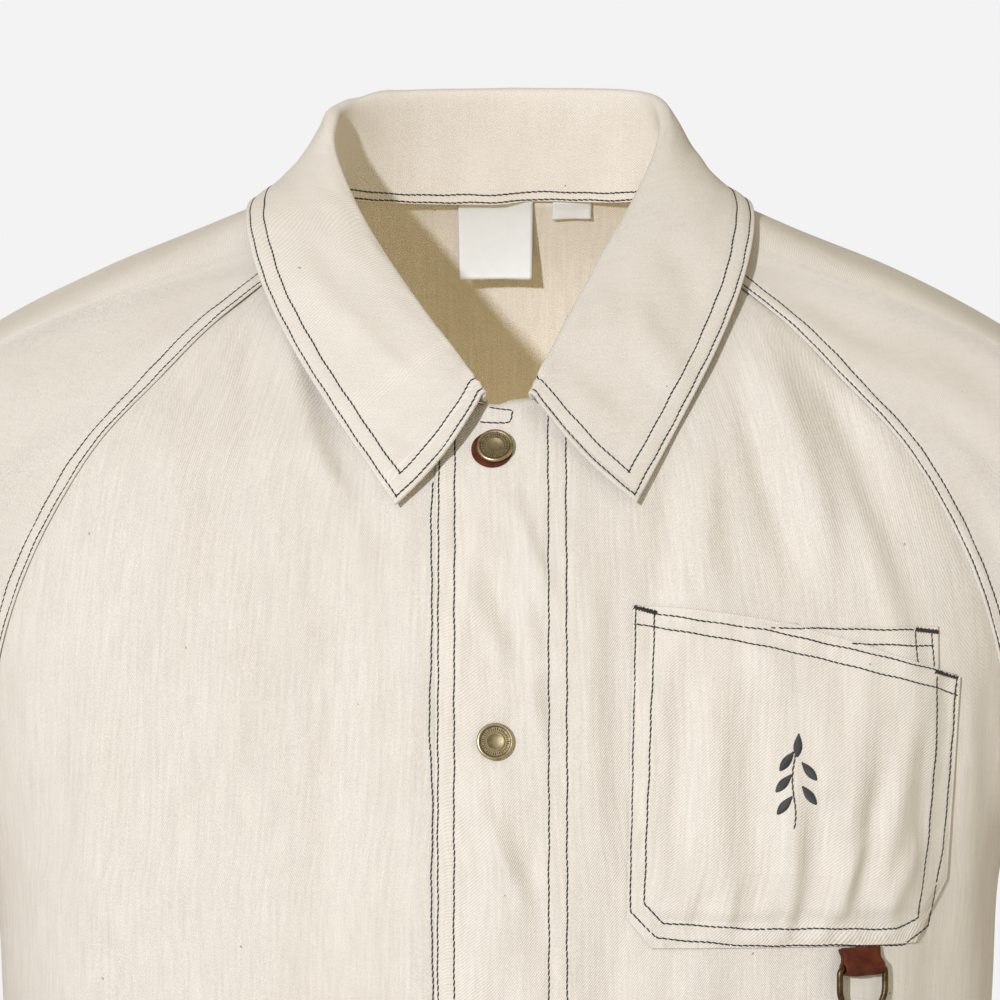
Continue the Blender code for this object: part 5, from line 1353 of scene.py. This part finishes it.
for k, height in enumerate(snapLook["heights"]):
    place, facing = snapPlace(height * mm)
    turnBy = 0.7 * k
    base = place + facing * (1.3 if k == 0 else 0.15) * mm
    if k == 0:
        ragged = lambda radius, turn: 0.12 * math.sin(5 * turn) * (radius > 7)
        disc = ((3.0, -0.9, 0), (8.4, -0.9, 0), (8.8, -0.7, 0), (8.9, -0.2, 0), (8.75, 0.1, 0), (8.3, 0.22, 0), (6.0, 0.24, 0), (0.4, 0.24, 0))
        washer = turned("washer", disc, place + facing * 1.1 * mm + np.array([-1.3, 0, -0.7]) * mm, facing, (leatherMaterial,), 72, ragged)
        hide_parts("snap_washer")
    made = turned(f"snap_{k + 1}_cap", capProfile, base, facing, (brassMaterial, rimMaterial, patinaMaterial))
    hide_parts(f"snap_{k + 1}")
    # short raised ticks round the recessed ring
    across = unit(np.cross([0, 0, 1], facing))
    up = np.cross(facing, across)
    strands = []
    for a in range(snapLook["ticks"]):
        turn = 2 * math.pi * a / snapLook["ticks"] + turnBy
        way = math.cos(turn) * across + math.sin(turn) * up
        long = (4.62, 5.85) if a % 3 else (4.62, 5.3)
        strands.append(([base + way * r * mm + facing * 1.8 * mm for r in np.linspace(*long, 3)], [facing] * 3))
    ticks = tubes(f"snap_{k + 1}_ticks", strands, 0.22 * mm, 0.16 * mm, 0.02 * mm, 4)
    ticks.data.materials.clear()
    ticks.data.materials.append(patinaMaterial)

print("stage: ring and tab")
hinge = np.array([0.15227, -0.12516, -0.3232])
yaw = 0.54305
acrossRing = np.array([math.cos(yaw), math.sin(yaw), 0])
facingRing = np.array([math.sin(yaw), -math.cos(yaw), 0])
upward = np.array([0, 0, 1.0])
ringLook = {"half": 11.65, "drop": 20, "corner": 2.4, "wire": 1.35, "sides": 20}


def ringPath():
    half, drop, corner = (ringLook[k] for k in ("half", "drop", "corner"))
    out = []
    for x in np.linspace(-half + corner, half - corner, 14):
        out.append((x, 0.0))
    for a in np.linspace(90, 0, 8)[1:-1]:
        out.append((half - corner + corner * math.cos(a * degree), -corner + corner * math.sin(a * degree)))
    straight = drop - half
    for z in np.linspace(-corner, -max(straight, corner + 1), 6):
        out.append((half, z))
    top = -max(straight, corner + 1)
    for a in np.linspace(0, 180, 34)[1:-1]:
        out.append((half * math.cos(a * degree), top - (drop + top) * math.sin(a * degree)))
    for z in np.linspace(top, -corner, 6):
        out.append((-half, z))
    for a in np.linspace(180, 90, 8)[1:-1]:
        out.append((-half + corner + corner * math.cos(a * degree), -corner + corner * math.sin(a * degree)))
    return np.array(out)


path = ringPath()
centres = hinge + (path[:, :1] * acrossRing + path[:, 1:] * upward) * mm
way = unit(np.roll(centres, -1, axis=0) - np.roll(centres, 1, axis=0))
vertices, faces = [], []
sides = ringLook["sides"]
for k, centre in enumerate(centres):
    side = np.cross(way[k], facingRing)
    for a in range(sides):
        turn = 2 * math.pi * a / sides
        vertices.append(centre + ringLook["wire"] * mm * (math.cos(turn) * side + math.sin(turn) * facingRing))
for k in range(len(centres)):
    for a in range(sides):
        b = (a + 1) % sides
        n = (k + 1) % len(centres)
        faces.append((k * sides + a, k * sides + b, n * sides + b, n * sides + a))
ring = meshPiece("d_ring_wire", vertices, faces)
ring.data.materials.append(ringMaterial)
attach(ring, "d_ring")
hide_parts("d_ring")

# the tab: one strip of leather round the ring's bar, its two ends sewn under the pocket
lean = 17 * degree
tabUp = upward * math.cos(lean) - facingRing * math.sin(lean)
tabOut = facingRing * math.cos(lean) + upward * math.sin(lean)
tabLook = {"half": 9.7, "eye": 2.42, "thick": 1.3, "height": 8.5, "columns": 30, "around": 16}
line = [(0.78 + 0.5 * math.sin(math.pi * (h - 2.6) / 6.3), h) for h in np.linspace(tabLook["height"], 2.9, 12)]
line += [(tabLook["eye"] * math.cos(a * degree), tabLook["eye"] * math.sin(a * degree)) for a in np.linspace(48, -228, 34)]
line += [(-0.78, h) for h in np.linspace(2.9, tabLook["height"], 10)]
line = evened(np.array(line), 3)
columns = np.linspace(-1, 1, tabLook["columns"])
strand = np.linspace(0, 1, len(line))
out2 = np.stack([-np.gradient(line[:, 1]), np.gradient(line[:, 0])], -1)
out2 = out2 / np.linalg.norm(out2, axis=1, keepdims=True)
out2 = out2 * np.sign(np.sum(out2[16] * line[16]))
grid = np.zeros((len(line), len(columns), 3))
skin = np.zeros_like(grid)
for i, (m, h) in enumerate(line):
    for j, c in enumerate(columns):
        onFront = ease(float(strand[i]), 0.0, 0.06) * (1 - ease(float(strand[i]), 0.5, 0.62))
        puff = onFront * (0.55 * (1 - c * c) + 0.14 * float(cloud(c * 9.7 + 3, h * 1.3 + 40, 91, 4.1, 3.3)) + 0.1 * math.sin(c * 5 + h))
        wide = tabLook["half"] * (1 + 0.035 * math.sin(h * 0.8 + 1))
        m2, h2 = m + out2[i, 0] * puff, h + out2[i, 1] * puff
        grid[i, j] = hinge + (acrossRing * c * wide + tabOut * m2 + tabUp * h2) * mm
        skin[i, j] = tabOut * out2[i, 0] + tabUp * out2[i, 1]
edgeNear = (1 - np.abs(columns))[None, :] * tabLook["half"] * mm
tabThick = tabLook["thick"] * mm * roundEdge(np.broadcast_to(edgeNear, grid.shape[:2]) + 0.12 * mm, tabLook["thick"] * mm)
tab = shell("leather_tab", grid + skin * tabThick[..., None] / 2, tabThick, skin)
tab.data.materials.append(leatherMaterial)
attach(tab, "jacket")
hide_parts("leather_loop")

print("stage: labels")
backTree = treeOf(backCloth["object"])
labelLook = {
    "neck_label": {"box": (-19.4, 15.3, 12.2, -18.5), "off": 10, "count": 26},
    "size_tab": {"box": (24.5, 42.5, 11.5, 4.5), "off": 0.9, "count": 14},
}
labels = {}
for name, look in labelLook.items():
    a, b, high, low = look["box"]
    count = look["count"]
    s, t = np.linspace(0, 1, count)[None, :], np.linspace(0, 1, count)[:, None]
    x = (a + (b - a) * s) * mm * np.ones((count, 1))
    z = (high + (low - high) * t) * mm * np.ones((1, count))
    hang = (0.5 + look["off"] * t**1.3 + 0.25 * np.sin(5 * s + 2 * t) * t) * mm
    points, normals = patch(backTree, x, z, hang, 0.5 * mm, 0.0)
    labels[name] = shell(name + "_cloth", points, np.full(points.shape[:2], 0.5 * mm), normals)
    labels[name].data.materials.append(satinMaterial)
    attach(labels[name], "jacket")
    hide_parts(name)

for data in (fronts[1], fronts[-1], backCloth):
    data["object"].data.materials.append(denimMaterial)
for data in (sleeves[1], sleeves[-1], collarData):
    data["object"].data.materials.append(sleeveMaterial)
outerPocket.data.materials.append(denimMaterial)
innerPocket.data.materials.append(denimMaterial)

print("stage: light")
lightLook = {
    "travel": (0.38, 0.90, -0.21), "strength": 2.90, "angle": 3.0, "colour": (0.86, 0.885, 0.98),
    "ambient": (0.36, 0.325, 0.24), "fill": 0.3, "fillTravel": (-0.78, 0.6, -0.12), "over": 0.25, "overTravel": (0.05, 0.5, -0.86), "behind": 0.896, "through": 0.33, "throughColour": (1.0, 0.82, 0.45),
}
sun = bpy.data.lights.new("key", "SUN")
sun.energy = lightLook["strength"]
sun.color = lightLook["colour"]
sun.angle = lightLook["angle"] * degree
key = bpy.data.objects.new("key", sun)
key.rotation_euler = Vector(lightLook["travel"]).to_track_quat("-Z", "Y").to_euler()
key.location = (-1.2, -3.0, 1.2)
bpy.context.collection.objects.link(key)
soft = bpy.data.lights.new("fill", "SUN")
soft.energy = lightLook["fill"]
soft.angle = 50 * degree
soft.color = (1.0, 0.93, 0.8)
fill = bpy.data.objects.new("fill", soft)
fill.rotation_euler = Vector(lightLook["fillTravel"]).to_track_quat("-Z", "Y").to_euler()
fill.location = (2.0, -1.6, 0.4)
bpy.context.collection.objects.link(fill)
over = bpy.data.lights.new("over", "SUN")
over.energy = lightLook["over"]
over.angle = 70 * degree
above = bpy.data.objects.new("over", over)
above.rotation_euler = Vector(lightLook["overTravel"]).to_track_quat("-Z", "Y").to_euler()
above.location = (0, -1.6, 2.6)
bpy.context.collection.objects.link(above)
glow = bpy.data.lights.new("glow", "POINT")  # what shines through the cloth into the hollow
glow.energy = lightLook["through"]
glow.color = lightLook["throughColour"]
glow.shadow_soft_size = 0.06
inside = bpy.data.objects.new("glow", glow)
inside.location = (-0.01, -0.015, -0.17)
bpy.context.collection.objects.link(inside)
world = bpy.data.worlds.new("studio")
bpy.context.scene.world = world
world.use_nodes = True
tree = world.node_tree
seenBehind = tree.nodes.new("ShaderNodeBackground")
seenBehind.inputs["Color"].default_value = (lightLook["behind"],) * 3 + (1,)
around = tree.nodes["Background"]
around.inputs["Color"].default_value = (*lightLook["ambient"], 1)
straight = tree.nodes.new("ShaderNodeLightPath")
choose = tree.nodes.new("ShaderNodeMixShader")
tree.links.new(straight.outputs["Is Camera Ray"], choose.inputs[0])
tree.links.new(around.outputs[0], choose.inputs[1])
tree.links.new(seenBehind.outputs[0], choose.inputs[2])
tree.links.new(choose.outputs[0], tree.nodes["World Output"].inputs["Surface"])

floorMaterial = bpy.data.materials.new("pale floor")
floorMaterial.use_nodes = True
floorMaterial.node_tree.nodes["Principled BSDF"].inputs["Base Color"].default_value = (0.8, 0.8, 0.79, 1)
floorMaterial.node_tree.nodes["Principled BSDF"].inputs["Roughness"].default_value = 0.9
half = 2.6
floor = meshPiece("floor", [(-half, -half, -0.75), (half, -half, -0.75), (half, half, -0.75), (-half, half, -0.75)], [(0, 1, 2, 3)])
floor.data.materials.append(floorMaterial)


print("stage: done")
